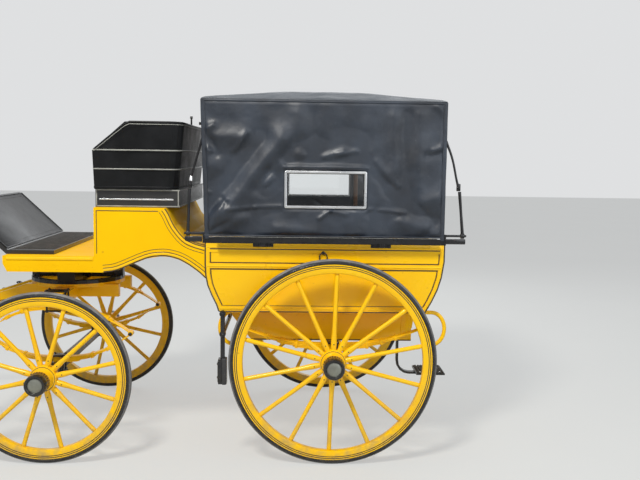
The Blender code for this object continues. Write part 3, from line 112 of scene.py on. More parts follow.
# Outline of a rectangle with rounded corners.
def slab(width, height, corner, steps=3):
    rows = []
    for quarter, (signA, signB) in enumerate(((1, 1), (-1, 1), (-1, -1), (1, -1))):
        for step in range(steps + 1):
            turn = pi / 2 * (quarter + step / steps)
            rows.append((signA * (width / 2 - corner) + corner * cos(turn),
                         signB * (height / 2 - corner) + corner * sin(turn)))
    return rows


# The section's first axis lies along up, its second across the path.
def sweep(shape, path, section, up, closed=False, material=0, scales=None):
    rings = []
    count = len(path)
    up = Vector(up)
    path = [Vector(point) for point in path]
    for index, point in enumerate(path):
        before = path[index - 1] if index or closed else None
        after = path[(index + 1) % count] if index < count - 1 or closed else None
        run = (point - before).normalized() if before is not None else (after - point).normalized()
        lead = (after - point).normalized() if after is not None else run
        tangent = (run + lead).normalized()
        stretch = 1 / max(tangent.dot(lead), 0.6)
        first = (up - tangent * up.dot(tangent)).normalized()
        second = tangent.cross(first)
        size = scales[index] if scales else 1.0
        rings.append([point + first * (a * size) + second * (b * size * stretch) for a, b in section])
    skin(shape, rings, pathClosed=closed, material=material)


# A curve through the points.
def smooth(points, parts=6):
    points = [Vector(point) for point in points]
    rows = []
    for index in range(len(points) - 1):
        p1, p2 = points[index], points[index + 1]
        p0 = points[index - 1] if index else p1 * 2 - p2
        p3 = points[index + 2] if index + 2 < len(points) else p2 * 2 - p1
        for step in range(parts):
            t = step / parts
            rows.append(0.5 * ((2 * p1) + (p2 - p0) * t + (2 * p0 - 5 * p1 + 4 * p2 - p3) * t * t
                               + (3 * p1 - p0 - 3 * p2 + p3) * t * t * t))
    rows.append(points[-1])
    return rows


def block(shape, low, high, corner=0.002, material=0, matrix=None):
    low, high = Vector(low), Vector(high)
    made = bmesh.ops.create_cube(shape, size=1.0)
    size = high - low
    place = Matrix.Translation((low + high) / 2) @ Matrix.Diagonal((*size, 1.0))
    bmesh.ops.transform(shape, matrix=place, verts=made["verts"])
    edges = list({edge for vert in made["verts"] for edge in vert.link_edges})
    cut = bmesh.ops.bevel(shape, geom=edges, offset=min(corner, min(size) * 0.45), segments=2, profile=0.5,
                          affect="EDGES")
    verts = list({vert for face in cut["faces"] for vert in face.verts} | {v for v in made["verts"] if v.is_valid})
    faces = {face for vert in verts for face in vert.link_faces}
    for face in faces:
        face.material_index = material
    if matrix is not None:
        bmesh.ops.transform(shape, matrix=matrix, verts=verts)


# Two grids of points, faced on the given cells and joined where these end.
def joined(shape, outer, inner, cells):
    for i, k in cells:
        ring = ((i, k), (i + 1, k), (i + 1, k + 1), (i, k + 1))
        shape.faces.new([outer[spot] for spot in ring])
        shape.faces.new([inner[spot] for spot in ring[::-1]])
        beside = ((i, k - 1), (i + 1, k), (i, k + 1), (i - 1, k))
        for first, second, near in zip(ring, ring[1:] + ring[:1], beside):
            if near not in cells:
                shape.faces.new((outer[second], outer[first], inner[first], inner[second]))


def mirror(shape):
    bmesh.ops.transform(shape, matrix=Matrix.Scale(-1, 4, (0, 1, 0)), verts=shape.verts)
    over = vec(1, -1, 1)
    for (kind, *_), rows in waiting.get(shape, {}).items():
        for index, row in enumerate(rows):
            rows[index] = (row[0] * over, row[1] * over, row[2]) if kind == "head" else [p * over for p in row]


def clean(shape):
    bmesh.ops.remove_doubles(shape, verts=shape.verts, dist=mergeDistance)
    bmesh.ops.recalc_face_normals(shape, faces=shape.faces)


def meshFrom(name, shape):
    mesh = bpy.data.meshes.new(name)
    shape.to_mesh(mesh)
    shape.free()
    return mesh


def linked(name, data):
    item = bpy.data.objects.new(name, data)
    bpy.context.scene.collection.objects.link(item)
    return item


# Adds a node to a tree, with values or links for its inputs, and gives its first output.
def adder(tree):
    def add(kind, inputs=None, **settings):
        node = tree.nodes.new(kind)
        for key, value in settings.items():
            setattr(node, key, value)
        for key, value in (inputs or {}).items():
            if isinstance(value, bpy.types.NodeSocket):
                tree.links.new(value, node.inputs[key])
            else:
                node.inputs[key].default_value = value
        return node.outputs[0]
    return add


# Geometry Nodes: heads on points, threads along paths, and parts repeated round an axis or in a row
def startTree(name, rows):
    tree = bpy.data.node_groups.new(name, "GeometryNodeTree")
    for label, kind in (("Geometry", "Geometry"), *rows, ("Finish", "Material")):
        tree.interface.new_socket(label, in_out="INPUT", socket_type=f"NodeSocket{kind}")
    tree.interface.new_socket("Geometry", in_out="OUTPUT", socket_type="NodeSocketGeometry")
    given = tree.nodes.new("NodeGroupInput").outputs
    add = adder(tree)

    def end(instances):
        solid = add("GeometryNodeRealizeInstances", {"Geometry": instances})
        painted = add("GeometryNodeSetMaterial", {"Geometry": solid, "Material": given["Finish"]})
        tree.links.new(painted, tree.nodes.new("NodeGroupOutput").inputs[0])
        return tree
    return given, add, end


def headTree():
    given, add, end = startTree("fastenings", (("Head", "Object"),))
    info = add("GeometryNodeObjectInfo", {"Object": given["Head"]}).node
    way = add("GeometryNodeInputNamedAttribute", {"Name": "way"}, data_type="FLOAT_VECTOR")
    size = add("GeometryNodeInputNamedAttribute", {"Name": "size"}, data_type="FLOAT_VECTOR")
    turn = add("FunctionNodeAlignRotationToVector", {"Vector": way}, axis="Z")
    return end(add("GeometryNodeInstanceOnPoints", {
        "Points": given["Geometry"], "Instance": info.outputs["Geometry"], "Rotation": turn, "Scale": size}))


def threadTree():
    given, add, end = startTree("threads", (("Gap", "Float"), ("Size", "Vector")))
    line = add("GeometryNodeMeshToCurve", {"Mesh": given["Geometry"]})
    points = add("GeometryNodeResampleCurve", {"Curve": line, "Length": given["Gap"]}, mode="LENGTH")
    turn = add("FunctionNodeAlignRotationToVector", {"Vector": add("GeometryNodeInputTangent")}, axis="Z")
    thread = add("GeometryNodeMeshUVSphere", {"Segments": 6, "Rings": 4, "Radius": 1.0})
    return end(add("GeometryNodeInstanceOnPoints", {
        "Points": points, "Instance": thread, "Rotation": turn, "Scale": given["Size"]}))


def repeatTree():
    given, add, end = startTree("repeated", (("Count", "Int"), ("Step", "Vector"), ("Turn", "Float"),
                                             ("First", "Float")))
    index = add("GeometryNodeInputIndex")
    place = add("ShaderNodeVectorMath", {0: given["Step"]}, operation="SCALE").node
    place.id_data.links.new(index, place.inputs["Scale"])
    points = add("GeometryNodePoints", {"Count": given["Count"], "Position": place.outputs[0]})
    number = add("ShaderNodeMath", {0: index, 1: given["First"]}, operation="ADD")
    angle = add("ShaderNodeMath", {0: number, 1: given["Turn"]}, operation="MULTIPLY")
    return end(add("GeometryNodeInstanceOnPoints", {
        "Points": points, "Instance": given["Geometry"],
        "Rotation": add("ShaderNodeCombineXYZ", {"Z": angle})}))


# Runs a mesh through a tree and adds what it makes to a shape.
def grow(shape, mesh, tree, values, paint, matrix=None):
    item = linked("grown", mesh)
    modifier = item.modifiers.new("grown", "NODES")
    modifier.node_group = tree
    for socket in tree.interface.items_tree:
        if socket.in_out == "INPUT" and socket.name in values:
            modifier[socket.identifier] = values[socket.name]
    graph = bpy.context.evaluated_depsgraph_get()
    made = bpy.data.meshes.new_from_object(item.evaluated_get(graph), depsgraph=graph)
    if matrix is not None:
        made.transform(matrix)
    for face in made.polygons:
        face.material_index = paint
    shape.from_mesh(made)
    bpy.data.objects.remove(item)
    bpy.data.meshes.remove(made)
    bpy.data.meshes.remove(mesh)


trees = {"heads": headTree(), "threads": threadTree(), "repeated": repeatTree()}
heads = {}
waiting = {}


def headObject(steps):
    if steps not in heads:
        shape = bmesh.new()
        revolve(shape, [(0, 1), (0.55, 0.9), (0.9, 0.5), (1, 0), (1, -0.4)], steps, Matrix.Identity(4))
        clean(shape)
        heads[steps] = bpy.data.objects.new("head", meshFrom("head", shape))
    return heads[steps]


# Notes a head on a shape; settle() makes all of them.
def bolt(shape, place, normal, radius, height, steps=10, material=0):
    rows = waiting.setdefault(shape, {}).setdefault(("head", steps, material), [])
    rows.append((Vector(place), Vector(normal).normalized(), (radius, radius, height)))


# Gap, length and radius of a thread.
fineThread = (0.0075, 0.0048, 0.0005)
coarseThread = (0.0095, 0.0062, 0.0007)


# Notes a row of threads along a path.
def stitches(shape, path, thread, normal, material):
    lift = Vector(normal) * thread[-1] * 0.6
    rows = waiting.setdefault(shape, {}).setdefault(("thread", thread, material), [])
    rows.append([Vector(point) + lift for point in path])


def settle(shape, materials):
    for (kind, detail, paint), rows in waiting.pop(shape, {}).items():
        mesh = bpy.data.meshes.new(kind)
        values = {"Finish": materials[paint]}
        if kind == "head":
            mesh.from_pydata([row[0] for row in rows], [], [])
            for label, column in (("way", 1), ("size", 2)):
                layer = mesh.attributes.new(label, "FLOAT_VECTOR", "POINT")
                layer.data.foreach_set("vector", [part for row in rows for part in row[column]])
            grow(shape, mesh, trees["heads"], {**values, "Head": headObject(detail)}, paint)
        else:
            gap, length, radius = detail
            points, edges = [], []
            for path in rows:
                edges += [(len(points) + index, len(points) + index + 1) for index in range(len(path) - 1)]
                points += path
            mesh.from_pydata(points, edges, [])
            grow(shape, mesh, trees["threads"], {**values, "Gap": gap, "Size": (radius, radius, length / 2)}, paint)


# Adds a part a number of times, in a row or round the Z axis.
def repeated(shape, part, material, count, step=(0, 0, 0), turn=0.0, first=0.0, paint=0, matrix=None):
    clean(part)
    grow(shape, meshFrom("part", part), trees["repeated"],
         {"Finish": material, "Count": count, "Step": Vector(step), "Turn": turn, "First": first}, paint, matrix)


def bar(shape, start, end, radius, steps=12, material=0, radiusEnd=None):
    start, end = Vector(start), Vector(end)
    run = end - start
    turn = vec(0, 0, 1).rotation_difference(run.normalized()).to_matrix().to_4x4()
    last = radius if radiusEnd is None else radiusEnd
    edge = min(radius, last) * 0.18
    profile = [(0, 0), (radius - edge, 0), (radius, edge), (last, run.length - edge), (last - edge, run.length),
               (0, run.length)]
    revolve(shape, profile, steps, Matrix.Translation(start) @ turn, material)


def piece(name, shape, materials, body="carriage_body", replaced=(), angle=45, mirrored=False):
    if mirrored:
        mirror(shape)
    settle(shape, materials)
    clean(shape)
    mesh = meshFrom(name, shape)
    for material in materials:
        mesh.materials.append(material)
    mesh.shade_smooth()
    mesh.set_sharp_from_angle(angle=radians(angle))
    item = linked(name, mesh)
    if body:
        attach(item, body)
    if replaced:
        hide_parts(*replaced)
    return item


# Outline in X and Z with holes, as deep as depth from y outwards.
def plateMesh(outline, holes, y, depth, rim):
    data = bpy.data.curves.new("plate", "CURVE")
    data.dimensions = "2D"
    data.fill_mode = "BOTH"
    data.extrude = abs(depth) / 2 - rim
    data.bevel_depth = rim
    data.bevel_resolution = 1
    data.offset = -rim
    for ring in (outline, *holes):
        line = data.splines.new("POLY")
        line.points.add(len(ring) - 1)
        for point, (x, z) in zip(line.points, ring):
            point.co = (x, z, 0, 1)
        line.use_cyclic_u = True
    item = linked("plate", data)
    item.rotation_euler = (pi / 2, 0, 0)
    item.location = (0, y + depth / 2, 0)
    bpy.context.view_layer.update()
    mesh = bpy.data.meshes.new_from_object(item.evaluated_get(bpy.context.evaluated_depsgraph_get()))
    mesh.transform(item.matrix_world)
    bpy.data.objects.remove(item)
    bpy.data.curves.remove(data)
    return mesh


# Outline of a CAD node's flat face, as (x, z) rows in order.
def faceOutline(node, y):
    shape = bmesh.new()
    shape.from_mesh(nodes[node].data)
    bmesh.ops.remove_doubles(shape, verts=shape.verts, dist=mergeDistance)
    flat = {face for face in shape.faces if all(abs(vert.co.y - y) < 0.0001 for vert in face.verts)}
    rim = [edge for edge in shape.edges if sum(face in flat for face in edge.link_faces) == 1]
    links = {}
    for edge in rim:
        first, second = edge.verts
        links.setdefault(first, []).append(second)
        links.setdefault(second, []).append(first)
    start = min(links, key=lambda vert: (vert.co.z, vert.co.x))
    walk, last, here = [start], None, start
    while True:
        step = [vert for vert in links[here] if vert is not last][0]
        if step is start:
            break
        walk.append(step)
        last, here = here, step
    rows = [(vert.co.x, vert.co.z) for vert in walk]
    shape.free()
    return rows


# The x of a line of (x, z) rows at a height.
def lineAt(rows, z):
    for (lowX, lowZ), (highX, highZ) in zip(rows, rows[1:]):
        if z <= highZ:
            return lowX + (highX - lowX) * (z - lowZ) / max(highZ - lowZ, 1e-6)
    return rows[-1][0]


# Materials
# Colour, roughness and relief vary with noise on object coordinates.
def material(name, first, second, patch, rough, **look):
    made = bpy.data.materials.new(name)
    made.use_nodes = True
    tree = made.node_tree
    add = adder(tree)
    shader = tree.nodes["Principled BSDF"].inputs
    for socket, key, usual in (("Metallic", "metallic", 0.0), ("Coat Weight", "coat", 0.0),
                               ("Coat Roughness", "coatRoughness", 0.1), ("Sheen Weight", "sheen", 0.0),
                               ("IOR", "ior", 1.5), ("Specular IOR Level", "specular", 0.5),
                               ("Transmission Weight", "transmission", 0.0)):
        shader[socket].default_value = look.get(key, usual)
    place = add("ShaderNodeTexCoord").node.outputs["Object"]
    stretch = look.get("stretch")

    def pattern(scale, detail, stretched=None):
        source = add("ShaderNodeMapping", {"Scale": stretched, "Vector": place}) if stretched else place
        return add("ShaderNodeTexNoise", {"Scale": scale, "Detail": detail, "Vector": source})

    def spread(factor, low, high):
        return add("ShaderNodeMapRange", {"From Min": low, "From Max": high, "Value": factor})

    def mixed(factor, under, over):
        mix = add("ShaderNodeMix", {"Factor": factor, 6: under, 7: (*over, 1.0)}, data_type="RGBA")
        return mix.node.outputs[2]

    colour = mixed(spread(pattern(patch, 4.0, stretch), 0.35, 0.65), (*first, 1.0), second)
    if "marks" in look:
        colour = mixed(spread(pattern(look["marksScale"], 6.0), *look["marksAt"]), colour, look["marks"])
    if "dust" in look:
        height = spread(add("ShaderNodeSeparateXYZ", {0: place}).node.outputs["Z"], look["dustTop"], 0.0)
        cover = spread(pattern(18.0, 5.0), 0.4, 0.75)
        colour = mixed(add("ShaderNodeMath", {0: height, 1: cover}, operation="MULTIPLY"), colour, look["dust"])
    polish = add("ShaderNodeMapRange", {
        "From Min": 0.3, "From Max": 0.7, "To Min": rough[0], "To Max": rough[1],
        "Value": pattern(look.get("roughScale", 9.0), 4.0, stretch)})
    tree.links.new(colour, shader["Base Color"])
    tree.links.new(polish, shader["Roughness"])
    normal = {}
    for kind, scale, strength, distance in look.get("relief", ()):
        if kind == "cells":
            source = add("ShaderNodeTexVoronoi", {"Scale": scale, "Vector": place})
        elif kind == "weave":
            threads = [add("ShaderNodeTexWave", {"Scale": scale, "Vector": place}, bands_direction=way)
                       .node.outputs["Fac"] for way in "XY"]
            source = add("ShaderNodeMath", dict(enumerate(threads)), operation="MAXIMUM")
        else:
            source = pattern(scale, 4.0, stretch if kind == "grain" else None)
        bump = add("ShaderNodeBump", {"Strength": strength, "Distance": distance, "Height": source, **normal})
        normal = {"Normal": bump}
    if normal:
        tree.links.new(normal["Normal"], shader["Normal"])
    return made


yellow = material("yellowPaint", (0.97, 0.575, 0.001), (0.92, 0.52, 0.001), 2.5, (0.26, 0.38), specular=0.3,
    coat=0.22, coatRoughness=0.12, marks=(0.62, 0.3, 0.01), marksScale=34, marksAt=(0.66, 0.8),
    dust=(0.42, 0.3, 0.12), dustTop=0.55, relief=(("noise", 7, 0.1, 0.004), ("noise", 240, 0.12, 0.0003)))
neckYellow = material("neckYellowPaint", (0.95, 0.55, 0.001), (0.9, 0.5, 0.001), 2.5, (0.48, 0.6), specular=0.1,
    marks=(0.62, 0.3, 0.01), marksScale=34, marksAt=(0.66, 0.8),
    relief=(("noise", 7, 0.1, 0.004), ("noise", 240, 0.12, 0.0003)))
coachLine = material("darkCoachLine", (0.03, 0.022, 0.01), (0.055, 0.035, 0.012), 30, (0.3, 0.45), coat=0.4,
    relief=(("noise", 300, 0.1, 0.0002),))
# Pale trim for the seat's mouldings and edging; on the rest rail the same colour is a painted highlight.
paleTrimAndRailHighlight = material("dullPaleTrimAndRailHighlight", (0.36, 0.37, 0.34), (0.26, 0.26, 0.24), 25, (0.34, 0.5), coat=0.2,
    relief=(("noise", 180, 0.1, 0.0002),))
leather = material("headLeather", (0.006, 0.0095, 0.017), (0.022, 0.031, 0.048), 5, (0.38, 0.54), specular=0.62,
    roughScale=14, marks=(0.11, 0.125, 0.145), marksScale=95, marksAt=(0.7, 0.82),
    relief=(("noise", 38, 0.22, 0.004), ("cells", 620, 0.3, 0.0006), ("noise", 900, 0.25, 0.0003)))
# The roof's leather is a lighter grey-blue than the side leather: painted sky sheen on its upward face.
paintedSheenRoofLeather = material("paintedSheenRoofLeather", (0.026, 0.034, 0.046), (0.038, 0.048, 0.062), 6, (0.54, 0.7), specular=0.22,
    marks=(0.13, 0.14, 0.15), marksScale=70, marksAt=(0.66, 0.8),
    relief=(("noise", 30, 0.2, 0.004), ("cells", 620, 0.25, 0.0006)))
seatLeather = material("seatLeather", (0.0035, 0.0038, 0.0046), (0.009, 0.0095, 0.011), 8, (0.28, 0.42),
    specular=0.2, marks=(0.05, 0.052, 0.058), marksScale=80, marksAt=(0.7, 0.84), coat=0.08, coatRoughness=0.3,
    relief=(("cells", 700, 0.3, 0.0006), ("noise", 60, 0.15, 0.002)))
iron = material("glossBlackIron", (0.008, 0.008, 0.009), (0.016, 0.016, 0.018), 12, (0.2, 0.34), specular=0.34,
    coat=0.3, coatRoughness=0.12, marks=(0.05, 0.045, 0.04), marksScale=70, marksAt=(0.7, 0.82),
    dust=(0.1, 0.085, 0.06), dustTop=0.6, relief=(("noise", 45, 0.15, 0.001), ("noise", 300, 0.08, 0.0002)))
rubber = material("tyreRubber", (0.02, 0.02, 0.022), (0.034, 0.034, 0.036), 10, (0.62, 0.8),
    marks=(0.11, 0.105, 0.095), marksScale=50, marksAt=(0.58, 0.8), relief=(("noise", 160, 0.3, 0.0008),))
# The tread's pale grey is partly dust and wear, partly painted light as if lit from above.
wornAndLitTread = material("tyreTreadWornAndPaintedLight", (0.12, 0.12, 0.125), (0.21, 0.205, 0.2), 14, (0.72, 0.9), marks=(0.24, 0.23, 0.2),
    marksScale=40, marksAt=(0.55, 0.8), relief=(("noise", 120, 0.45, 0.0012),))
nickel = material("wornNickel", (0.78, 0.79, 0.8), (0.66, 0.67, 0.69), 14, (0.2, 0.36), metallic=1,
    relief=(("noise", 260, 0.06, 0.0002),))
# The hub cap's face is a dull olive grey: a painted reflection of grass on polished metal.
grassTintHubFace = material("dullHubFacePaintedGrassReflection", (0.3, 0.31, 0.27), (0.22, 0.22, 0.19), 18, (0.3, 0.46), metallic=0.8,
    relief=(("noise", 220, 0.08, 0.0002),))
brass = material("agedBrass", (0.5, 0.33, 0.12), (0.34, 0.21, 0.08), 30, (0.3, 0.48), metallic=0.9,
    relief=(("noise", 200, 0.12, 0.0003),))
wood = material("varnishedWood", (0.2, 0.09, 0.034), (0.11, 0.046, 0.018), 9, (0.32, 0.48), stretch=(1, 9, 9),
    coat=0.35, coatRoughness=0.2, relief=(("grain", 40, 0.2, 0.0008),))
blackWood = material("blackPaintedWood", (0.01, 0.01, 0.011), (0.02, 0.019, 0.019), 7, (0.28, 0.44),
    stretch=(1, 6, 6), coat=0.4, coatRoughness=0.2, marks=(0.06, 0.055, 0.05), marksScale=60,
    marksAt=(0.68, 0.8), relief=(("grain", 50, 0.16, 0.0006),))
cloth = material("blueCloth", (0.018, 0.028, 0.07), (0.026, 0.038, 0.088), 16, (0.85, 0.95), sheen=0.5,
    relief=(("weave", 260, 0.3, 0.0006),))
mat = material("ribbedMat", (0.04, 0.038, 0.036), (0.065, 0.06, 0.055), 20, (0.75, 0.9), marks=(0.16, 0.14, 0.11),
    marksScale=45, marksAt=(0.55, 0.75), relief=(("weave", 90, 0.5, 0.002),))
glass = material("clearGlass", (0.97, 0.98, 0.98), (0.95, 0.97, 0.97), 3, (0.01, 0.03), transmission=1, ior=1.45,
    relief=(("noise", 3, 0.02, 0.001),))
say("materials")


# The frame's own nodes
dressing = {
    yellow: ("body_front", "body_side_", "rear_quarter_", "rear_door", "footwell", "front_spring_", "rear_spring_",
             "scroll_iron_", "lower_turntable", "shaft_", "shaft_crossbar", "rear_wheel_", "front_wheel_"),
    neckYellow: ("boot",),
    iron: ("brake_gear", "front_axle", "rear_axle", "rear_step", "head_rest_rail_", "head_side_frame_",
           "head_sill_", "splinter_bar", "upper_turntable"),
    blackWood: ("footboard", "seat_riser"),
    wood: ("seat_box_", "head_roof_frame_"),
    leather: ("head_side_", "head_roof_"),
    seatLeather: ("driver_seat", "driver_cushion"),
    cloth: ("seat_cushion_",),
    nickel: ("window_frame_",),
    glass: ("window_glass_",),
    rubber: ("rear_tyre_", "front_tyre_")}
# A name that ends in _ stands for both sides.
for finish, names in dressing.items():
    for name in names:
        for side, sign in sides if name.endswith("_") else (("", 0),):
            nodes[name + side].data.materials.clear()
            nodes[name + side].data.materials.append(finish)


# Wheels
wheelLook = {
    "tyreDepth": 0.027, "felloeDepth": 0.048, "felloeWidth": 0.042, "rimSteps": 112, "naveSteps": 56,
    "lineOut": 0.0125, "lineWidth": 0.0046, "lineGap": 0.0046, "spokeTurnShare": 0.43, "spokeSteps": 14,
    "capRadius": 0.056, "faceRadius": 0.039, "barrel": 0.052, "flange": 0.071, "flangeHalf": 0.022,
    "front": 0.155, "back": 0.09, "boltRadius": 0.1}
# Rows: share of the spoke's length, width in the wheel's plane, thickness.
spokeRows = ((0.0, 0.0262, 0.03), (0.06, 0.03, 0.031), (0.1, 0.0315, 0.031), (0.15, 0.03, 0.03),
             (0.22, 0.0262, 0.029), (0.35, 0.024, 0.0275), (0.6, 0.023, 0.026), (0.9, 0.0236, 0.025),
             (0.955, 0.025, 0.025), (0.985, 0.0225, 0.0215), (1.0, 0.016, 0.014))


def wheelMatrix(x, side, sign, radius):
    return (Matrix.Translation((x, sign * side, radius)) @ Matrix.Rotation(0 if sign < 0 else pi, 4, "Z")
            @ Matrix.Rotation(pi / 2, 4, "X"))


def buildWheel(label, side, sign, x, radius, spokes):
    look = wheelLook
    place = wheelMatrix(x, wheelY, sign, radius)
    outer = radius - look["tyreDepth"]
    inner = outer - look["felloeDepth"]
    half = look["felloeWidth"] / 2
    soft = 0.004
    lineAtRadius = outer - look["lineOut"]
    step, gap = look["lineWidth"], look["lineGap"]
    face = [outer, lineAtRadius + gap / 2 + step, lineAtRadius + gap / 2, lineAtRadius - gap / 2,
            lineAtRadius - gap / 2 - step, inner + soft * 1.6]
    profile = [(outer, -half)] + [(r, half) for r in face]
    paints = [0, 0, 1, 0, 1, 0]
    profile += [(inner + soft * 0.5, half - soft * 0.6), (inner, half - soft * 1.8), (inner, soft * 1.8 - half),
                (inner + soft * 0.5, soft * 0.6 - half), (inner + soft * 1.6, -half)]
    paints += [0, 0, 0, 0, 0, 0]
    shape = bmesh.new()
    revolve(shape, profile, look["rimSteps"], place, paints, closed=True)

    foot = look["flange"] - 0.006
    tip = inner + 0.005
    rings = []
    for share, width, thick in spokeRows:
        run = foot + (tip - foot) * share
        ring = []
        for a, b in circle(1.0, look["spokeSteps"]):
            square = 0.86 if share < 0.2 else 0.97
            a = copysign(abs(a) ** square, a)
            b = copysign(abs(b) ** square, b)
            ring.append(vec(run, a * width / 2, b * thick / 2))
        rings.append(ring)
    spoke = bmesh.new()
    skin(spoke, rings)
    repeated(shape, spoke, yellow, spokes, turn=2 * pi / spokes, first=look["spokeTurnShare"], matrix=place)
    for index in range(spokes):
        turn = Matrix.Rotation(2 * pi * (index + look["spokeTurnShare"]) / spokes, 4, "Z")
        spot = place @ turn @ vec(look["boltRadius"], 0, 0.0148)
        bolt(shape, spot, place.to_3x3() @ vec(0, 0, 1), 0.0036, 0.0022, 8, 1)

    flange, fh, barrel = look["flange"], look["flangeHalf"], look["barrel"]
    cap, front, back, inside = look["capRadius"], look["front"], look["back"], look["faceRadius"]
    nave = [(barrel - 0.006, -back), (barrel - 0.002, -back + 0.003), (barrel - 0.001, -fh - 0.024),
            (barrel + 0.003, -fh - 0.012), (flange - 0.004, -fh - 0.001), (flange, -fh + 0.004), (flange, fh - 0.004),
            (flange - 0.002, fh), (flange - 0.0055, fh + 0.0008), (flange - 0.0085, fh + 0.0008),
            (flange - 0.013, fh + 0.002), (barrel + 0.004, fh + 0.01), (barrel + 0.001, fh + 0.022),
            (barrel, 0.072)]
    navePaints = [0] * 8 + [1] + [0] * 4
    revolve(shape, nave, look["naveSteps"], place, navePaints)
    band = [(barrel - 0.001, 0.07), (barrel + 0.0025, 0.072), (barrel + 0.003, 0.08), (barrel + 0.003, 0.094),
            (barrel + 0.001, 0.098)]
    revolve(shape, band, look["naveSteps"], place, 2)
    rib = bmesh.new()
    block(rib, (barrel + 0.002, -0.0022, 0.079), (barrel + 0.0052, 0.0022, 0.094), 0.0008)
    repeated(shape, rib, coachLine, 26, turn=2 * pi / 26, paint=1, matrix=place)
    nose = [(barrel, 0.096), (cap - 0.003, 0.098), (cap, 0.102), (cap + 0.0005, 0.125), (cap - 0.001, front - 0.008),
            (cap - 0.005, front - 0.001), (cap - 0.009, front), (inside + 0.003, front), (inside, front - 0.003),
            (inside, front - 0.01)]
    revolve(shape, nose, look["naveSteps"], place, 3)
    disc = [(inside + 0.0005, front - 0.009), (inside - 0.003, front - 0.0075), (inside * 0.8, front - 0.0055),
            (inside * 0.5, front - 0.0035), (inside * 0.2, front - 0.0025), (0, front - 0.0023)]
    revolve(shape, disc, look["naveSteps"], place, 4)
    piece(f"{label}WheelDetail{side}", shape, (yellow, coachLine, brass, iron, grassTintHubFace),
          body=f"{label}_{side}_wheel", replaced=(f"{label}_wheel_{side}",), angle=38)
    buildTyre(label, side, place, radius)


# A steel channel with solid rubber; its tread is pale grey, partly dust and wear and partly painted light from above.
def buildTyre(label, side, place, radius):
    inner = radius - wheelLook["tyreDepth"] + 0.0004
    rows = [(inner, -0.018), (inner + 0.0015, -0.0195), (inner + 0.009, -0.0195), (inner + 0.01, -0.018),
            (inner + 0.0092, -0.0165), (inner + 0.012, -0.0168), (inner + 0.018, -0.016), (radius - 0.0045, -0.0125),
            (radius - 0.0015, -0.0075), (radius, -0.0025)]
    paints = [0, 0, 0, 0, 1, 1, 1, 2, 2, 2]
    profile = rows + [(r, -a) for r, a in rows[::-1]]
    paints += [2, 2, 2, 1, 1, 1, 0, 0, 0, 0]
    shape = bmesh.new()
    revolve(shape, profile, wheelLook["rimSteps"], place, paints, closed=True)
    piece(f"{label}TyreDetail{side}", shape, (iron, rubber, wornAndLitTread), body=f"{label}_{side}_wheel",
          replaced=(f"{label}_tyre_{side}",), angle=60)


for side, sign in sides:
    buildWheel("rear", side, sign, rearX, rearRadius, 14)
    buildWheel("front", side, sign, foreX, foreRadius, 12)
say("wheels")


# Passenger body: pillars, rails and panels with their coach lines
panelLook = {"pillar": 0.022, "topRail": 0.026, "topLine": 1.1335, "beltLow": 1.03, "beltHigh": 1.055,
             "footRail": 0.025, "depth": 0.0045, "rim": 0.0016, "line": 0.0056, "edge": 0.0072}


def panelLoop(frontLine, rearLine, low, high, inset, steps=14):
    rows = []
    for step in range(steps + 1):
        z = low + (high - low) * step / steps
        rows.append((lineAt(frontLine, z) + inset, z))
    for step in range(steps, -1, -1):
        z = low + (high - low) * step / steps
        rows.append((lineAt(rearLine, z) - inset, z))
    return rows


def loopInset(rows, inset):
    count = len(rows)
    made = []
    for index in range(count):
        before, here, after = (Vector(rows[(index + move) % count]) for move in (-1, 0, 1))
        run = (here - before).normalized()
        lead = (after - here).normalized()
        normal = vec(run.y + lead.y, -run.x - lead.x).normalized()
        size = 1 / max(normal.dot(vec(lead.y, -lead.x)), 0.5)
        made.append(tuple(here + normal * inset * size))
    return made


def along(rows, y):
    return [(x, y, z) for x, z in rows]


for side, sign in sides:
    look = panelLook
    face = sign * bodyFace
    outline = faceOutline(f"body_side_{side}", face)
    middle = (bodyLow.x + bodyHigh.x) / 2
    frontLine = sorted((row for row in outline if row[0] < middle), key=lambda row: row[1])
    rearLine = sorted((row for row in outline if row[0] > middle), key=lambda row: row[1])
    low, high = bodyLow.z, bodyHigh.z
    upper = panelLoop(frontLine, rearLine, look["beltHigh"], high - look["topRail"], look["pillar"], 3)
    lower = panelLoop(frontLine, rearLine, low + look["footRail"], look["beltLow"], look["pillar"])
    mesh = plateMesh(outline, (upper, lower), face, sign * look["depth"], look["rim"])
    shape = bmesh.new()
    shape.from_mesh(mesh)
    top = face + sign * 0.0008
    for loop in (upper, lower):
        path = along(loopInset(loop, look["line"] * 0.9), top)
        sweep(shape, path, slab(0.0012, look["line"], 0.0003, 1), (0, sign, 0), closed=True, material=1)
    inset, z = look["pillar"] + look["line"] * 0.4, look["topLine"]
    path = along(((lineAt(frontLine, z) + inset, z), (lineAt(rearLine, z) - inset, z)), face + sign * 0.0038)
    sweep(shape, path, slab(0.0012, look["line"], 0.0003, 1), (0, sign, 0), material=1)
    outerY = face + sign * (look["depth"] * 0.5)
    for line in (frontLine, rearLine):
        sweep(shape, along(line, outerY), circle(look["edge"] * 0.62, 8), (0, sign, 0), material=1)
    sweep(shape, along((frontLine[0], rearLine[0]), outerY), circle(look["edge"] * 0.5, 8), (0, sign, 0), material=1)
    belt = (look["beltLow"] + look["beltHigh"]) / 2
    for z, width in ((belt, 0.01), (low + look["footRail"] * 0.62, 0.008), (high - 0.02, 0.007)):
        path = along(((lineAt(frontLine, z) + 0.01, z), (lineAt(rearLine, z) - 0.01, z)), face + sign * look["depth"])
        sweep(shape, path, circle(width / 2, 10, 0.6)[::-1], (0, 0, 1))
    piece(f"bodyPanels_{side}", shape, (yellow, coachLine), angle=38)
    bpy.data.meshes.remove(mesh)
say("body panels")


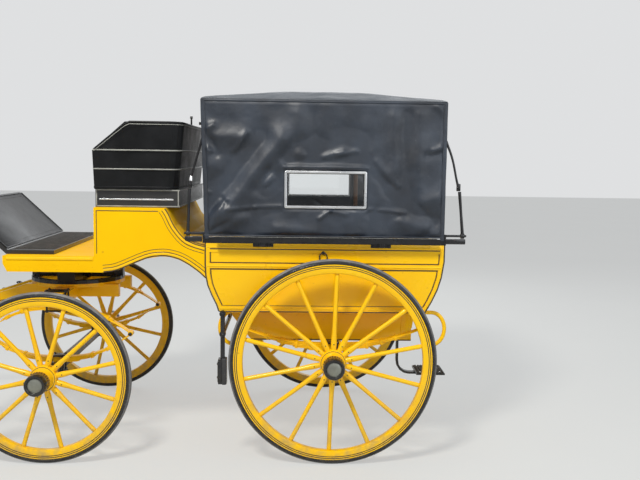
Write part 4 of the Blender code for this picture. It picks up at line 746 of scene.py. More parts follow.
# Neck and boot: a raised border between two dark lines, along the top curve and the arch
bootLow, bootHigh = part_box("boot")
for side, sign in sides:
    outline = faceOutline("boot", sign * bodyFace)
    arch = sorted((row for row in outline if row[0] > rearX - 1.23 and row[1] < 1.0895 and row[1] > 0.965),
                  key=lambda row: row[0])
    crest = sorted((row for row in outline if row[0] > rearX - 0.895 and row[1] > 1.12), key=lambda row: row[0])
    shape = bmesh.new()
    face = sign * (bodyFace + 0.0006)
    for rows, into in ((arch, -1), (crest, 1)):
        path = smooth([vec(x, face, z) for x, z in rows], 4)
        flatRows = [(point.x, point.z) for point in path]
        for inset, width, paint, height in ((0.0035, 0.0055, 1, 0.0018), (0.0135, 0.013, 0, 0.0062),
                                            (0.0225, 0.0038, 1, 0.0016), (0.039, 0.0026, 1, 0.0014)):
            moved = []
            for index, (x, z) in enumerate(flatRows):
                before = flatRows[max(index - 1, 0)]
                after = flatRows[min(index + 1, len(flatRows) - 1)]
                run = vec(after[0] - before[0], after[1] - before[1]).normalized()
                normal = vec(-run.y, run.x) if into < 0 else vec(run.y, -run.x)
                moved.append(vec(x + normal.x * inset, face, z + normal.y * inset))
            section = slab(height, width, min(height, width) * 0.3, 2)
            sweep(shape, moved, section, (0, sign, 0), material=paint)
    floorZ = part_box("footboard")[0].z
    path = [(bootLow.x + 0.02, face, floorZ - 0.014), (rearX - 1.275, face, floorZ - 0.014)]
    sweep(shape, path, slab(0.006, 0.016, 0.002, 2), (0, sign, 0))
    heel = [(rearX - 1.255, face, floorZ + 0.016), (rearX - 1.255, face, bootHigh.z - 0.016),
            (rearX - 0.93, face, bootHigh.z - 0.016)]
    sweep(shape, heel, slab(0.0014, 0.004, 0.0004, 1), (0, sign, 0), material=1)
    piece(f"neckLines_{side}", shape, (yellow, coachLine), angle=50)
say("neck")


# Folding head: leather sides
headLow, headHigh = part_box("head_side_left")
windowLow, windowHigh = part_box("window_frame_left")
sheetLook = {"step": 0.0078, "thick": 0.0032, "rest": 0.0048, "face": 0.5902, "low": 1.2046, "hemTop": 1.9168,
             "hemLow": 1.89, "lip": 0.0095, "edge": 0.018, "crease": 2.1, "spread": 1.28, "turn": -0.105,
             "ripples": ((0.0062, 4.6, 5.2, 0), (0.003, 13, 11, 5), (0.0007, 38, 34, 9))}
# Rows in millimetres: x and z of both ends, half width, height outwards.
creases = (
    (-288, 1712, -592, 1318, 52, 16.5), (-215, 1690, -325, 1545, 34, -8.5), (-340, 1545, -415, 1455, 28, -7),
    (-392, 1715, -665, 1362, 42, -9.5), (-665, 1718, -500, 1728, 40, 8.5), (-700, 1752, -640, 1786, 13, 7.5),
    (-695, 1765, -655, 1700, 14, -9), (-655, 1700, -622, 1640, 18, -7), (-470, 1745, -530, 1655, 13, 5),
    (-700, 1662, -650, 1652, 12, 6), (-700, 1600, -610, 1560, 40, 5), (-700, 1478, -630, 1462, 14, -8),
    (-690, 1440, -610, 1420, 16, 6), (-610, 1420, -570, 1380, 10, -5), (-575, 1395, -605, 1350, 10, 5),
    (-692, 1210, -615, 1335, 20, 8.5), (-692, 1210, -560, 1275, 14, -6), (-640, 1235, -480, 1300, 22, 5),
    (-692, 1260, -650, 1395, 14, -6), (-275, 1362, -420, 1356, 9, 4.5), (-420, 1356, -560, 1345, 9, 3.5),
    (-300, 1345, -500, 1335, 16, -3.5), (-262, 1572, 165, 1572, 16, 7), (-255, 1596, 150, 1602, 18, -4.5),
    (-285, 1592, -360, 1480, 18, 6.5), (-300, 1480, -370, 1440, 20, -5.5), (-60, 1625, 40, 1655, 15, 5),
    (20, 1640, 110, 1660, 12, 4), (40, 1745, 150, 1715, 30, -7), (-160, 1700, -80, 1690, 40, -5),
    (178, 1600, 300, 1455, 22, -6.5), (300, 1455, 440, 1350, 26, -7.5), (440, 1350, 530, 1300, 18, -5),
    (215, 1600, 330, 1470, 20, 5.5), (480, 1400, 575, 1425, 34, 8.5), (520, 1665, 580, 1690, 14, 7),
    (490, 1640, 560, 1655, 16, -5), (575, 1860, 530, 1910, 14, 5), (380, 1840, 375, 1470, 26, -5),
    (440, 1850, 450, 1480, 30, 5), (310, 1840, 315, 1560, 26, 4.5), (-200, 1850, -190, 1640, 36, 5),
    (-110, 1850, -120, 1640, 30, -3.5), (180, 1352, 370, 1338, 8, 4.5), (190, 1330, 380, 1318, 14, -3.5),
    (-80, 1300, -20, 1345, 8, 5), (-20, 1345, 60, 1325, 9, 4), (215, 1340, 195, 1215, 18, -6),
    (120, 1330, 100, 1220, 30, 4), (-420, 1330, -440, 1230, 30, -4.5), (360, 1290, 520, 1240, 30, 5),
    (560, 1300, 500, 1220, 18, -5), (-300, 1250, -120, 1235, 24, 4.5))


# Coordinates through the given stops, in steps of about the sheet's own.
def lines(*rows):
    made = []
    for low, high in zip(rows, rows[1:]):
        parts = max(1, round((high - low) / sheetLook["step"]))
        made += [low + (high - low) * part / parts for part in range(parts)]
    return made + [rows[-1]]


def rise(value, width):
    share = min(max(value / width, 0.0), 1.0)
    return share * share * (3 - 2 * share)


# The front end of a side's leather leans out towards the top.
def sideEnd(z):
    return headLow.x - rearX + 0.002 + 0.022 * (1.9175 - z) / 0.7125


# How far the leather stands out from its frame.
def sideBulge(x, z, rows, seed):
    height = 0.0
    for x1, z1, x2, z2, width, lift in rows:
        runX, runZ = x2 - x1, z2 - z1
        share = ((x - x1) * runX + (z - z1) * runZ) / (runX * runX + runZ * runZ)
        share = min(max(share, 0.0), 1.0)
        away = hypot(x - x1 - share * runX, z - z1 - share * runZ) / (width * sheetLook["spread"])
        if away < 2.6:
            height += lift * sheetLook["crease"] * exp(-abs(away) ** 1.7)
    for size, scaleX, scaleZ, move in sheetLook["ripples"]:
        height += size * noise.noise(vec(x * scaleX, z * scaleZ, seed + move))
    left = sideEnd(z)
    right = headHigh.x - rearX
    outX = max(windowLow.x - rearX - x, x - windowHigh.x + rearX, 0.0)
    outZ = max(windowLow.z - z, z - windowHigh.z, 0.0)
    fade = min(rise(x - left - 0.01, 0.016), rise(right - 0.01 - x, 0.016), rise(z - 1.203, 0.02),
               rise(1.9168 - z, 0.022), rise(hypot(outX, outZ), 0.016))
    return max(sheetLook["rest"] + height, 0.0005) * fade


for side, sign in sides:
    look = sheetLook
    rows = [[value / 1000 for value in row] for row in creases]
    if sign > 0:
        rows = [(look["turn"] - x1, z1, look["turn"] - x2, z2, width, lift) for x1, z1, x2, z2, width, lift in rows]
    holeX = (windowLow.x - rearX + look["lip"], windowHigh.x - rearX - look["lip"])
    holeZ = (windowLow.z + look["lip"], windowHigh.z - look["lip"])
    xs = lines(sideEnd(look["low"]), holeX[0], holeX[1], headHigh.x - rearX - 0.002)
    zs = lines(look["low"], holeZ[0], holeZ[1], look["hemLow"], look["hemTop"])
    shape = bmesh.new()
    outer, inner = {}, {}
    for i, column in enumerate(xs):
        for k, z in enumerate(zs):
            x = column
            if column < holeX[0]:
                x = holeX[0] + (column - holeX[0]) * (sideEnd(z) - holeX[0]) / (xs[0] - holeX[0])
            out = sideBulge(x, z, rows, 3.0 + sign)
            hem = 0.0012 if z > look["hemLow"] + 0.0005 else 0.0
            outer[i, k] = shape.verts.new(at(x, -look["face"] - out - hem, z))
            inner[i, k] = shape.verts.new(at(x, -look["face"] - out + look["thick"], z))
    joined(shape, outer, inner, {
        (i, k) for i in range(len(xs) - 1) for k in range(len(zs) - 1)
        if not (holeX[0] - 1e-6 <= xs[i] < holeX[1] - 1e-6 and holeZ[0] - 1e-6 <= zs[k] < holeZ[1] - 1e-6)})
    bmesh.ops.delete(shape, geom=[vert for vert in shape.verts if not vert.link_faces], context="VERTS")
    hemLine = [at(x, -look["face"] - 0.0016, look["hemLow"] + 0.004) for x in (sideEnd(1.9) + 0.02, xs[-4])]
    stitches(shape, hemLine, fineThread, (0, -1, 0), 1)
    cover = piece(f"headSideLeather_{side}", shape, (leather, coachLine), body=None,
                  replaced=(f"head_side_{side}",), angle=70, mirrored=sign > 0)
    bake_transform(cover)

    shape = bmesh.new()
    for end, way in ((headLow.x, 1), (headHigh.x, -1)):
        path = []
        for step in range(46):
            z = 1.188 + (look["hemTop"] + 0.0015 - 1.188) * step / 45
            wave = 0.0012 * noise.noise(vec(z * 9.0, way, sign))
            out = 0.002 * noise.noise(vec(z * 7.0, way + 4, sign))
            lean = sideEnd(z) - sideEnd(1.9175) if way > 0 else 0.0
            path.append(vec(end + wave + lean, -0.5912 - abs(out), z))
        strip = [(way * x, y) for x, y in (
            (-0.0032, 0.0245), (-0.0044, 0.0), (-0.003, -0.0036), (0.0, -0.005), (0.014, -0.0048),
            (look["edge"], -0.003), (look["edge"], -0.0002), (0.0, -0.0002), (-0.0002, 0.0245))]
        sweep(shape, path, strip if way > 0 else strip[::-1], (1, 0, 0))
        seam = [point + vec(way * (look["edge"] - 0.0035), -0.0046, 0) for point in path]
        stitches(shape, seam, fineThread, (0, -1, 0), 1)
    binding = piece(f"headSideBinding_{side}", shape, (leather, coachLine), body=None, angle=50,
                    mirrored=sign > 0)
    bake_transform(binding)
say("head sides")


# Roof leather: a taut sheet over the bows, welted along both long edges and bound at the ends
roofLook = {"corner": 1.9245, "ridgeEnd": 1.9645, "ridgeMiddle": 2.0072, "half": 0.592, "gap": 0.0044,
            "columns": 104, "rows": 40, "thick": 0.0036, "sag": 0.003}
roofLow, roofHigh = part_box("head_roof_left")
bowPlaces = [rearX + x for x in (-0.668, -0.294, 0.199, 0.573)]


def roofTop(x, y):
    look = roofLook
    middle = (roofLow.x + roofHigh.x) / 2
    half = (roofHigh.x - roofLow.x) / 2
    ridge = look["ridgeEnd"] + (look["ridgeMiddle"] - look["ridgeEnd"]) * (1 - ((x - middle) / half) ** 2)
    return look["corner"] + (ridge - look["corner"]) * (1 - (abs(y) / look["half"]) ** 2)


def roofSag(x, y):
    nearest = min(abs(x - place) for place in bowPlaces)
    open_ = rise(nearest - 0.012, 0.13) * rise(look["half"] - 0.02 - abs(y), 0.1) * rise(abs(y) - 0.01, 0.1)
    wave = 0.0012 * noise.noise(vec(x * 9, y * 7, 2.0)) + 0.0004 * noise.noise(vec(x * 34, y * 30, 7.0))
    return open_ * (look["sag"] + wave)


for side, sign in sides:
    look = roofLook
    shape = bmesh.new()
    xs = [roofLow.x + (roofHigh.x - roofLow.x) * i / look["columns"] for i in range(look["columns"] + 1)]
    ys = [-look["half"] + (look["half"] - look["gap"]) * i / look["rows"] for i in range(look["rows"] + 1)]
    upper, lower = {}, {}
    for i, x in enumerate(xs):
        for k, y in enumerate(ys):
            z = roofTop(x, y) - roofSag(x, y)
            upper[i, k] = shape.verts.new((x, y, z))
            lower[i, k] = shape.verts.new((x, y, z - look["thick"]))
    joined(shape, upper, lower, {(i, k) for i in range(look["columns"]) for k in range(look["rows"])})
    for y, away, drop, section in ((look["half"] + 0.0012, look["half"], 0.0036, circle(0.0034, 10)),
                                   (look["half"] + 0.0026, look["half"], 0.0105, slab(0.011, 0.0028, 0.001, 1)),
                                   (look["gap"] + 0.0012, 0, 0.0026, circle(0.0029, 10))):
        sweep(shape, [(x, -y, roofTop(x, away) - drop) for x in xs[::4]], section, (0, 0, 1), material=1)
    for y, away in ((0.012 - look["half"], look["half"] - 0.012), (-look["gap"] - 0.014, 0.018)):
        inset = [(x, y, roofTop(x, away) + 0.0002) for x in xs[1:-1:6]]
        stitches(shape, inset, fineThread, (0, 0, 1), 2)
    for end, way in ((xs[0], -1), (xs[-1], 1)):
        hang = []
        for step in range(25):
            y = -look["half"] + 0.002 + (look["half"] - look["gap"] - 0.004) * step / 24
            hang.append(vec(end + way * 0.0005, y, roofTop(end, y) - 0.015))
        sweep(shape, hang, slab(0.026, 0.003, 0.0012, 1), (0, 0, 1), material=1)
        seam = [point + vec(way * 0.0016, 0, -0.0085) for point in hang]
        stitches(shape, seam, fineThread, (way, 0, 0), 2)
    top = piece(f"headRoofLeather_{side}", shape, (paintedSheenRoofLeather, leather, coachLine),
                body=f"head_{side}_roof", replaced=(f"head_roof_{side}",), angle=50, mirrored=sign > 0)
say("roof")


# Windows in the head: silvered frames with rubber gaskets and screws
def roundedLoop(inset, radius, y):
    low, high = windowLow + vec(inset, 0, inset), windowHigh - vec(inset, 0, inset)
    rows, steps = [], 4
    for quarter, (x, z) in enumerate(((high.x - radius, high.z - radius), (low.x + radius, high.z - radius),
                                      (low.x + radius, low.z + radius), (high.x - radius, low.z + radius))):
        for step in range(steps + 1):
            turn = pi / 2 * (quarter + step / steps)
            rows.append((x + radius * cos(turn), y, z + radius * sin(turn)))
    return rows


windowLook = {"width": 0.014, "corner": 0.004, "gasket": 0.0034, "screw": 0.0026}
for side, sign in sides:
    shape = bmesh.new()
    width, deep = windowLook["width"], windowHigh.y - windowLow.y
    half, middle = width / 2, (windowLow.y + windowHigh.y) / 2
    for paint, (inset, y, section) in enumerate((
            (half, middle, slab(deep, width, 0.0026)),
            (width + 0.0012, middle + 0.0012, slab(deep * 0.62, windowLook["gasket"], 0.0012, 2)))):
        loop = roundedLoop(inset, windowLook["corner"], y)
        sweep(shape, loop, section, (0, 1, 0), closed=True, material=paint)
    for x in (windowLow.x + half, (windowLow.x * 2 + windowHigh.x) / 3, (windowLow.x + windowHigh.x * 2) / 3,
              windowHigh.x - half):
        for z in (windowLow.z + half, windowHigh.z - half):
            bolt(shape, (x, windowLow.y + 0.0004, z), (0, -1, 0), windowLook["screw"], 0.0009, 8)
    piece(f"windowFrameDetail_{side}", shape, (nickel, rubber), body=f"head_{side}_side",
          replaced=(f"window_frame_{side}",), angle=50, mirrored=sign > 0)
say("windows")


# Head frame: ash slats inside, forged irons with jointed knuckles outside
ironLook = {"front": -0.775, "rear": 0.69, "eyeZ": 1.215, "y": -0.5767, "radius": 0.0088,
            "knees": {"front": ((0.07, 0.36), (0.17, 0.46), (0.56, 0.68)),
                      "rear": ((0.18, 0.36), (0.34, 0.46), (0.58, 0.64))},
            "meeting": {"front": 0.93, "rear": 0.82}, "top": 1.8709, "slatY": (-0.5857, -0.5677)}
for side, sign in sides:
    look = ironLook
    shape = bmesh.new()
    lowY, highY = look["slatY"]
    for place in bowPlaces:
        block(shape, (place - 0.014, lowY, 1.2055), (place + 0.014, highY, look["top"]), 0.004, 1)
        bar(shape, (place - 0.0135, -0.574, 1.88), (place - 0.0006, -0.574, 1.88), 0.0079, 14)
        block(shape, (place - 0.0125, -0.5795, 1.845), (place - 0.0015, -0.5685, 1.876), 0.0015)
    for z in (1.2055, look["top"] - 0.028):
        block(shape, (bowPlaces[0] - 0.013, lowY + 0.001, z), (bowPlaces[-1] + 0.013, highY - 0.001, z + 0.0275),
              0.004, 1)
    for eye, end in ((look["front"], bowPlaces[0] - rearX), (look["rear"], bowPlaces[-1] - rearX)):
        reach, climb = eye - end, look["top"] - look["eyeZ"]
        label = "front" if eye < 0 else "rear"
        knees = [at(eye - reach * a, look["y"], look["eyeZ"] + climb * b) for a, b in look["knees"][label]]
        foot = at(eye, -0.583, look["eyeZ"] + 0.01)
        head = at(end, look["y"], look["eyeZ"] + climb * look["meeting"][label])
        lower = smooth([foot, foot.lerp(knees[0], 0.5), knees[0]], 5)
        count = len(lower)
        sweep(shape, lower, circle(look["radius"]), (1, 0, 0),
              scales=[0.86 + 0.14 * cos(pi * i / (count - 1)) ** 2 for i in range(count)])
        bend = knees[0].lerp(knees[1], 0.35)
        block(shape, bend - vec(0.0105, 0.0072, 0.02), bend + vec(0.0105, 0.0072, 0.02), 0.004)
        bar(shape, bend - vec(0, 0.0125, 0), bend + vec(0, 0.0115, 0), 0.0088, 14)
        bolt(shape, bend - vec(0, 0.0125, 0), (0, -1, 0), 0.006, 0.003, 6)
        if label == "front":
            rod = (knees[1] - bend).normalized()
            bar(shape, bend + rod * 0.018, bend + rod * 0.044, 0.0112, 14, 2, 0.0078)
        upper = smooth([bend, knees[1], knees[2], head])
        count = len(upper)
        scales = []
        for index in range(count):
            share = index / (count - 1)
            collar = 0.26 * exp(-((share - 0.14) / 0.02) ** 2) + 0.2 * exp(-((share - 0.9) / 0.02) ** 2)
            scales.append(0.88 - 0.2 * sin(pi * share) + collar)
        sweep(shape, upper, circle(look["radius"]), (1, 0, 0), scales=scales)
        block(shape, head - vec(0.014, 0.004, 0.02), head + vec(0.014, 0.0035, 0.02), 0.003)
        for z in (-0.011, 0.011):
            bolt(shape, head + vec(0, 0.0035, z), (0, 1, 0), 0.0058, 0.0036, 6)
        tip = copysign(1, eye)
        start = at(eye - 0.0099, -0.583, look["eyeZ"])
        tube = [(0.0073, 0), (0.0128, 0), (0.0148, 0.0022), (0.0148, 0.0176), (0.0128, 0.0198), (0.0073, 0.0198)]
        revolve(shape, tube, 20, Matrix.Translation(start) @ Matrix.Rotation(pi / 2, 4, "Y"), closed=True)
    knob = at(-0.692, -0.577, 1.792)
    bar(shape, knob + vec(0.028, 0, 0), knob, 0.005)
    bar(shape, knob - vec(0.024, 0, 0), knob, 0.0085, 14, 0, 0.0068)
    piece(f"headFrameDetail_{side}", shape, (iron, wood, nickel), body=f"head_{side}_side",
          replaced=(f"head_side_frame_{side}",), mirrored=sign > 0)
say("head frame")


# Rest rail: a half-round rail on two bolted feet, with a pale line along its top as a painted highlight
railLook = {"feet": (-0.376, 0.252), "footHalf": 0.017, "footBolts": 0.042, "line": (-0.629, 0.542),
            "lap": (-0.69, 0.574), "studs": (-0.6, -0.45, -0.3, -0.1, 0.1, 0.3, 0.42, 0.52),
            "brackets": ((-0.792, -0.7), (0.598, 0.706))}
railLow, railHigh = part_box("head_rest_rail_left")
for side, sign in sides:
    shape = bmesh.new()
    y, top, look = railLow.y, railHigh.z, railLook
    for x in look["feet"]:
        for offset in (-look["footBolts"], look["footBolts"]):
            bolt(shape, at(x + offset, -0.6008, 1.157), (0, -1, 0), 0.0052, 0.0028)
        block(shape, at(x - look["footHalf"], -0.629, 1.15), at(x + look["footHalf"], -0.598, 1.176), 0.004)
    # A pale strip along the rail's top: a painted highlight where light falls on it.
    line = [at(x, y + 0.0035, top + 0.0006) for x in look["line"]]
    sweep(shape, line, slab(0.0016, 0.0055, 0.0006, 1), (0, 0, 1), material=1)
    for x in look["studs"]:
        bolt(shape, at(x, y + 0.01, top + 0.0004), (0, 0, 1), 0.004, 0.0018, 10, 2)
    lap = [at(x, -0.5932, 1.2052) for x in look["lap"]]
    sweep(shape, lap, circle(0.0042, 10), (0, 0, 1), material=3)
    for low, high in look["brackets"]:
        block(shape, at(low, -0.5935, 1.17), at(high, -0.572, 1.1985), 0.004)
    piece(f"restRailTrim_{side}", shape, (iron, paleTrimAndRailHighlight, nickel, leather), mirrored=sign > 0)
say("rest rails")


# Driver's seat: mouldings round its outer panels
def hull(points):
    points = sorted(set(points))
    rows = []
    for sweepWay in (points, points[::-1]):
        part = []
        for point in sweepWay:
            while len(part) > 1 and ((part[-1][0] - part[-2][0]) * (point[1] - part[-2][1])
                                     - (part[-1][1] - part[-2][1]) * (point[0] - part[-2][0])) <= 0:
                part.pop()
            part.append(point)
        rows += part[:-1]
    return rows


# The outer wall of an open shell at a height, from its front left round to its front right.
def shellPath(node, z, out):
    shape = bmesh.new()
    shape.from_mesh(nodes[node].data)
    cut = bmesh.ops.bisect_plane(shape, geom=shape.verts[:] + shape.edges[:] + shape.faces[:],
                                 plane_co=(0, 0, z), plane_no=(0, 0, 1))["geom_cut"]
    points = [(round(item.co.x, 5), round(item.co.y, 5)) for item in cut if isinstance(item, bmesh.types.BMVert)]
    shape.free()
    loop = hull(points)
    first = min((i for i in range(len(loop)) if loop[i][1] < 0), key=lambda i: (round(loop[i][0], 3), loop[i][1]))
    loop = loop[first:] + loop[:first]
    path = [vec(x, y, z) for x, y in loop]
    while path[-1].y < 0:
        path.pop()
    middle = sum(path, Vector()) / len(path)
    middle.x = path[0].x
    return [point + (point - middle).normalized() * out for point in path]


# Mouldings: height, width, distance outwards, paint.
seatLook = {"mouldings": ((1.648, 0.0066, 0.0006, 1), (1.549, 0.0066, 0.0006, 1), (1.452, 0.01, 0.001, 0)),
            "wallLow": 1.47, "wallRise": 0.15, "armRun": 0.17, "armEdge": 1.648, "welt": 0.0062, "weltIn": 0.0088,
            "seam": 0.0017, "edging": 0.0065, "band": 0.0072, "bandAt": 0.44, "pegY": -0.15}
seatLow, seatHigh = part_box("driver_seat")
riserLow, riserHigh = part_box("seat_riser")
shape = bmesh.new()
for z, width, out, paint in seatLook["mouldings"]:
    path = shellPath("driver_seat", z, out)
    sweep(shape, path, slab(width, 0.003, 0.0012, 2), (0, 0, 1), material=paint)
piece("seatMouldings", shape, (seatLeather, paleTrimAndRailHighlight), angle=50)
say("driver's seat")


def between(low, high, share):
    return low + (high - low) * share


# Driver's seat: fluted lining, welted edge, the riser's edging and a peg on the back
shape = bmesh.new()
flute = {"count": 34, "parts": 6, "rows": 18, "proud": 0.015, "valley": 0.0045, "low": 1.5245, "armTop": 1.64,
         "backTop": 1.789, "wall": 0.0186}
outerLow = shellPath("driver_seat", seatLook["wallLow"], 0)
outerHigh = shellPath("driver_seat", seatLook["wallLow"] + seatLook["wallRise"], 0)


def pathPoint(path, share):
    lengths = [0.0]
    for first, second in zip(path, path[1:]):
        lengths.append(lengths[-1] + (second - first).length)
    target = lengths[-1] * share
    for index in range(len(path) - 1):
        if target <= lengths[index + 1] + 1e-9:
            part = (target - lengths[index]) / max(lengths[index + 1] - lengths[index], 1e-9)
            return path[index].lerp(path[index + 1], min(max(part, 0.0), 1.0))
    return path[-1]


# The wall's line from low to high at a share of its length, and how far behind the arm's front it is.
def wallLine(share):
    low, high = pathPoint(outerLow, share), pathPoint(outerHigh, share)
    return low, high, min(max((low.x - seatLow.x) / seatLook["armRun"], 0.0), 1.0)


def wallPoint(low, high, z):
    wall = low + (high - low) * ((z - seatLook["wallLow"]) / seatLook["wallRise"])
    wall.z = z
    return wall


columns = flute["count"] * flute["parts"]
front, backing = {}, {}
for i in range(columns + 1):
    share = 0.004 + 0.992 * i / columns
    low, high, arm = wallLine(share)
    near, far = pathPoint(outerLow, min(share + 0.004, 1)), pathPoint(outerLow, max(share - 0.004, 0))
    run = (near - far).normalized()
    inward = vec(-run.y, run.x, 0)
    middle = vec((seatLow.x + seatHigh.x) / 2, 0, low.z)
    if inward.dot(middle - low) < 0:
        inward = -inward
    topZ = between(flute["armTop"], flute["backTop"], arm)
    swell = abs(sin(pi * i / flute["parts"])) ** 0.6
    for k in range(flute["rows"] + 1):
        level = k / flute["rows"]
        wall = wallPoint(low, high, between(flute["low"], topZ, level))
        crown = rise(level, 0.12) * rise(1 - level, 0.14)
        deep = between(flute["valley"], flute["proud"], swell) * (0.35 + 0.65 * crown)
        front[i, k] = shape.verts.new(wall + inward * (flute["wall"] + 0.0002 + deep))
        backing[i, k] = shape.verts.new(wall + inward * flute["wall"])
joined(shape, front, backing, {(i, k) for i in range(columns) for k in range(flute["rows"])})
lining = piece("seatLining", shape, (seatLeather,), angle=60)

shape = bmesh.new()
edgePath = []
for i in range(81):
    low, high, arm = wallLine(i / 80)
    wall = wallPoint(low, high, between(seatLook["armEdge"], seatHigh.z - 0.003, arm))
    middle = vec((seatLow.x + seatHigh.x) / 2, 0, 0)
    inward = (middle - vec(wall.x, wall.y, 0)).normalized()
    edgePath.append(wall + inward * seatLook["weltIn"])
sweep(shape, edgePath, circle(seatLook["welt"], 10), (0, 0, 1))
outward = [point + (vec(point.x, point.y, 0) - vec(middle.x, middle.y, 0)).normalized() * 0.009
           - vec(0, 0, 0.011) for point in edgePath]
sweep(shape, outward, circle(seatLook["seam"], 8), (0, 0, 1), material=1)
edging = slab(seatLook["edging"], 0.004, 0.0012, 2)
for height in (riserLow.z + 0.006, riserHigh.z - 0.004):
    left, right, back = riserLow.y - 0.0012, riserHigh.y + 0.0012, riserHigh.x + 0.0012
    ring = [(x, y, height) for x, y in ((riserLow.x + 0.004, left), (back, left), (back, right),
                                        (riserLow.x + 0.004, right))]
    sweep(shape, ring, edging, (0, 0, 1), material=1)
for y in (riserLow.y, riserHigh.y):
    out = copysign(0.0012, y)
    for x in (riserHigh.x - 0.004, riserLow.x + 0.006):
        post = [(x, y + out, riserLow.z + 0.006), (x, y + out, riserHigh.z - 0.006)]
        sweep(shape, post, edging, (1, 0, 0), material=1)
    z = between(riserLow.z, riserHigh.z, seatLook["bandAt"])
    line = [(x, y + out, z) for x in (riserLow.x + 0.02, riserHigh.x - 0.03)]
    sweep(shape, line, slab(seatLook["band"], 0.004, 0.0012, 2), (0, 0, 1), material=2)
peg = vec(seatHigh.x - 0.01, seatLook["pegY"], seatHigh.z - 0.006)
bar(shape, peg, peg + vec(0, 0, 0.05), 0.0052, 12, 3)
bar(shape, peg + vec(0, 0, 0.044), peg + vec(0, 0, 0.058), 0.0085, 12, 3, 0.007)
piece("seatTrim", shape, (seatLeather, paleTrimAndRailHighlight, nickel, iron))
say("seat lining")


# Cushions: blown up by cloth simulation, then buttoned and piped
cushionLook = {"voxel": 0.011, "pressure": 4.0, "frames": 20, "shrink": 0.012, "mostMove": 0.017, "dome": 0.004,
               "quickDome": 0.01, "buttonPull": 0.017, "buttonWidth": 0.02, "foldPull": 0.006,
               "foldWidth": 0.011, "piping": 0.0034, "pipeSteps": 120}


def cushion(name, node, finish, buttons):
    look = cushionLook
    low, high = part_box(node)
    shape = bmesh.new()
    block(shape, low + Vector((look["shrink"],) * 2 + (0.0004,)), high - Vector((look["shrink"],) * 3), 0.016)
    item = linked(name, meshFrom(name, shape))
    remesh = item.modifiers.new("remesh", "REMESH")
    remesh.mode = "VOXEL"
    remesh.voxel_size = look["voxel"]
    freeze(item)
    rest = [vert.co.copy() for vert in item.data.vertices]
    soft = item.modifiers.new("cloth", "CLOTH")
    soft.settings.use_pressure = True
    soft.settings.uniform_pressure_force = look["pressure"]
    soft.settings.effector_weights.gravity = 0
    soft.settings.quality = 4
    for step in range(1, look["frames"] + 1):
        bpy.context.scene.frame_set(step)
    freeze(item)
    bpy.context.scene.frame_set(1)
    middle = (low + high) / 2
    half = (high - low) / 2
    for vert, start in zip(item.data.vertices, rest):
        move = vert.co - start
        if move.length > look["mostMove"]:
            vert.co = start + move * (look["mostMove"] / move.length)
        share = vec((vert.co.x - middle.x) / half.x, (vert.co.y - middle.y) / half.y)
        dome = max(0.0, 1 - share.x ** 4) * max(0.0, 1 - share.y ** 4)
        if vert.co.z > middle.z:
            vert.co.z += look["dome"] * dome
    smoothing = item.modifiers.new("smooth", "SUBSURF")
    smoothing.levels = 1
    freeze(item)
    spots = [(between(low.x, high.x, (a + 0.5) / buttons[0]), between(low.y, high.y, (b + 0.5) / buttons[1]))
             for a in range(buttons[0]) for b in range(buttons[1])]
    pitchX, pitchY = (high.x - low.x) / buttons[0], (high.y - low.y) / buttons[1]
    for vert in item.data.vertices:
        if vert.co.z > middle.z + half.z * 0.35:
            best = min(hypot(vert.co.x - x, vert.co.y - y) for x, y in spots)
            a = (vert.co.x - low.x) / pitchX - 0.5
            b = (vert.co.y - low.y) / pitchY - 0.5
            fold = min(abs(a - round(a)) * pitchX, abs(b - round(b)) * pitchY)
            inside = rise(min(vert.co.x - low.x, high.x - vert.co.x) - 0.01, 0.05) * rise(
                min(vert.co.y - low.y, high.y - vert.co.y) - 0.01, 0.05)
            pull = look["buttonPull"] * exp(-(best / look["buttonWidth"]) ** 2)
            vert.co.z -= (pull + look["foldPull"] * exp(-(fold / look["foldWidth"]) ** 2)) * inside
        vert.co.x = min(max(vert.co.x, low.x + 0.0005), high.x - 0.0005)
        vert.co.y = min(max(vert.co.y, low.y + 0.0005), high.y - 0.0005)
        vert.co.z = min(max(vert.co.z, low.z + 0.0003), high.z + 0.008)
    shape = bmesh.new()
    shape.from_mesh(item.data)
    tree = BVHTree.FromBMesh(shape)
    for level in (0.8, 0.16):
        z = between(low.z, high.z, level)
        ring = []
        for step in range(look["pipeSteps"]):
            turn = 2 * pi * (step + 0.5) / look["pipeSteps"]
            way = vec(copysign(abs(cos(turn)) ** 0.25, cos(turn)), copysign(abs(sin(turn)) ** 0.25, sin(turn)), 0)
            far = vec(middle.x + way.x * half.x * 1.3, middle.y + way.y * half.y * 1.3, z)
            goal = vec(middle.x + way.x * half.x * 0.6, middle.y + way.y * half.y * 0.6, z)
            hit = tree.ray_cast(far, (goal - far).normalized())[0]
            if hit is not None:
                ring.append(hit - (far - goal).normalized() * 0.001)
        ring = [point for index, point in enumerate(ring) if (point - ring[index - 1]).length > 0.004]
        sweep(shape, ring, circle(look["piping"], 8), (0, 0, 1), closed=True)
    for x, y in spots:
        hit = tree.ray_cast(vec(x, y, high.z + 0.1), vec(0, 0, -1))[0]
        if hit is not None:
            bolt(shape, hit - vec(0, 0, 0.0004), (0, 0, 1), 0.0085, 0.0042, 14)
    settle(shape, (finish,))
    shape.to_mesh(item.data)
    shape.free()
    item.data.materials.clear()
    item.data.materials.append(finish)
    for face in item.data.polygons:
        face.material_index = 0
    item.data.shade_smooth()
    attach(item, "carriage_body")
    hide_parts(node)


# Applies what is on a piece to its mesh.
def freeze(item):
    graph = bpy.context.evaluated_depsgraph_get()
    mesh = bpy.data.meshes.new_from_object(item.evaluated_get(graph), depsgraph=graph)
    old = item.data
    item.modifiers.clear()
    item.data = mesh
    bpy.data.meshes.remove(old)


cushion("driverCushion", "driver_cushion", seatLeather, (2, 6))
cushion("passengerCushion_left", "seat_cushion_left", cloth, (6, 2))
cushion("passengerCushion_right", "seat_cushion_right", cloth, (6, 2))
say("cushions")


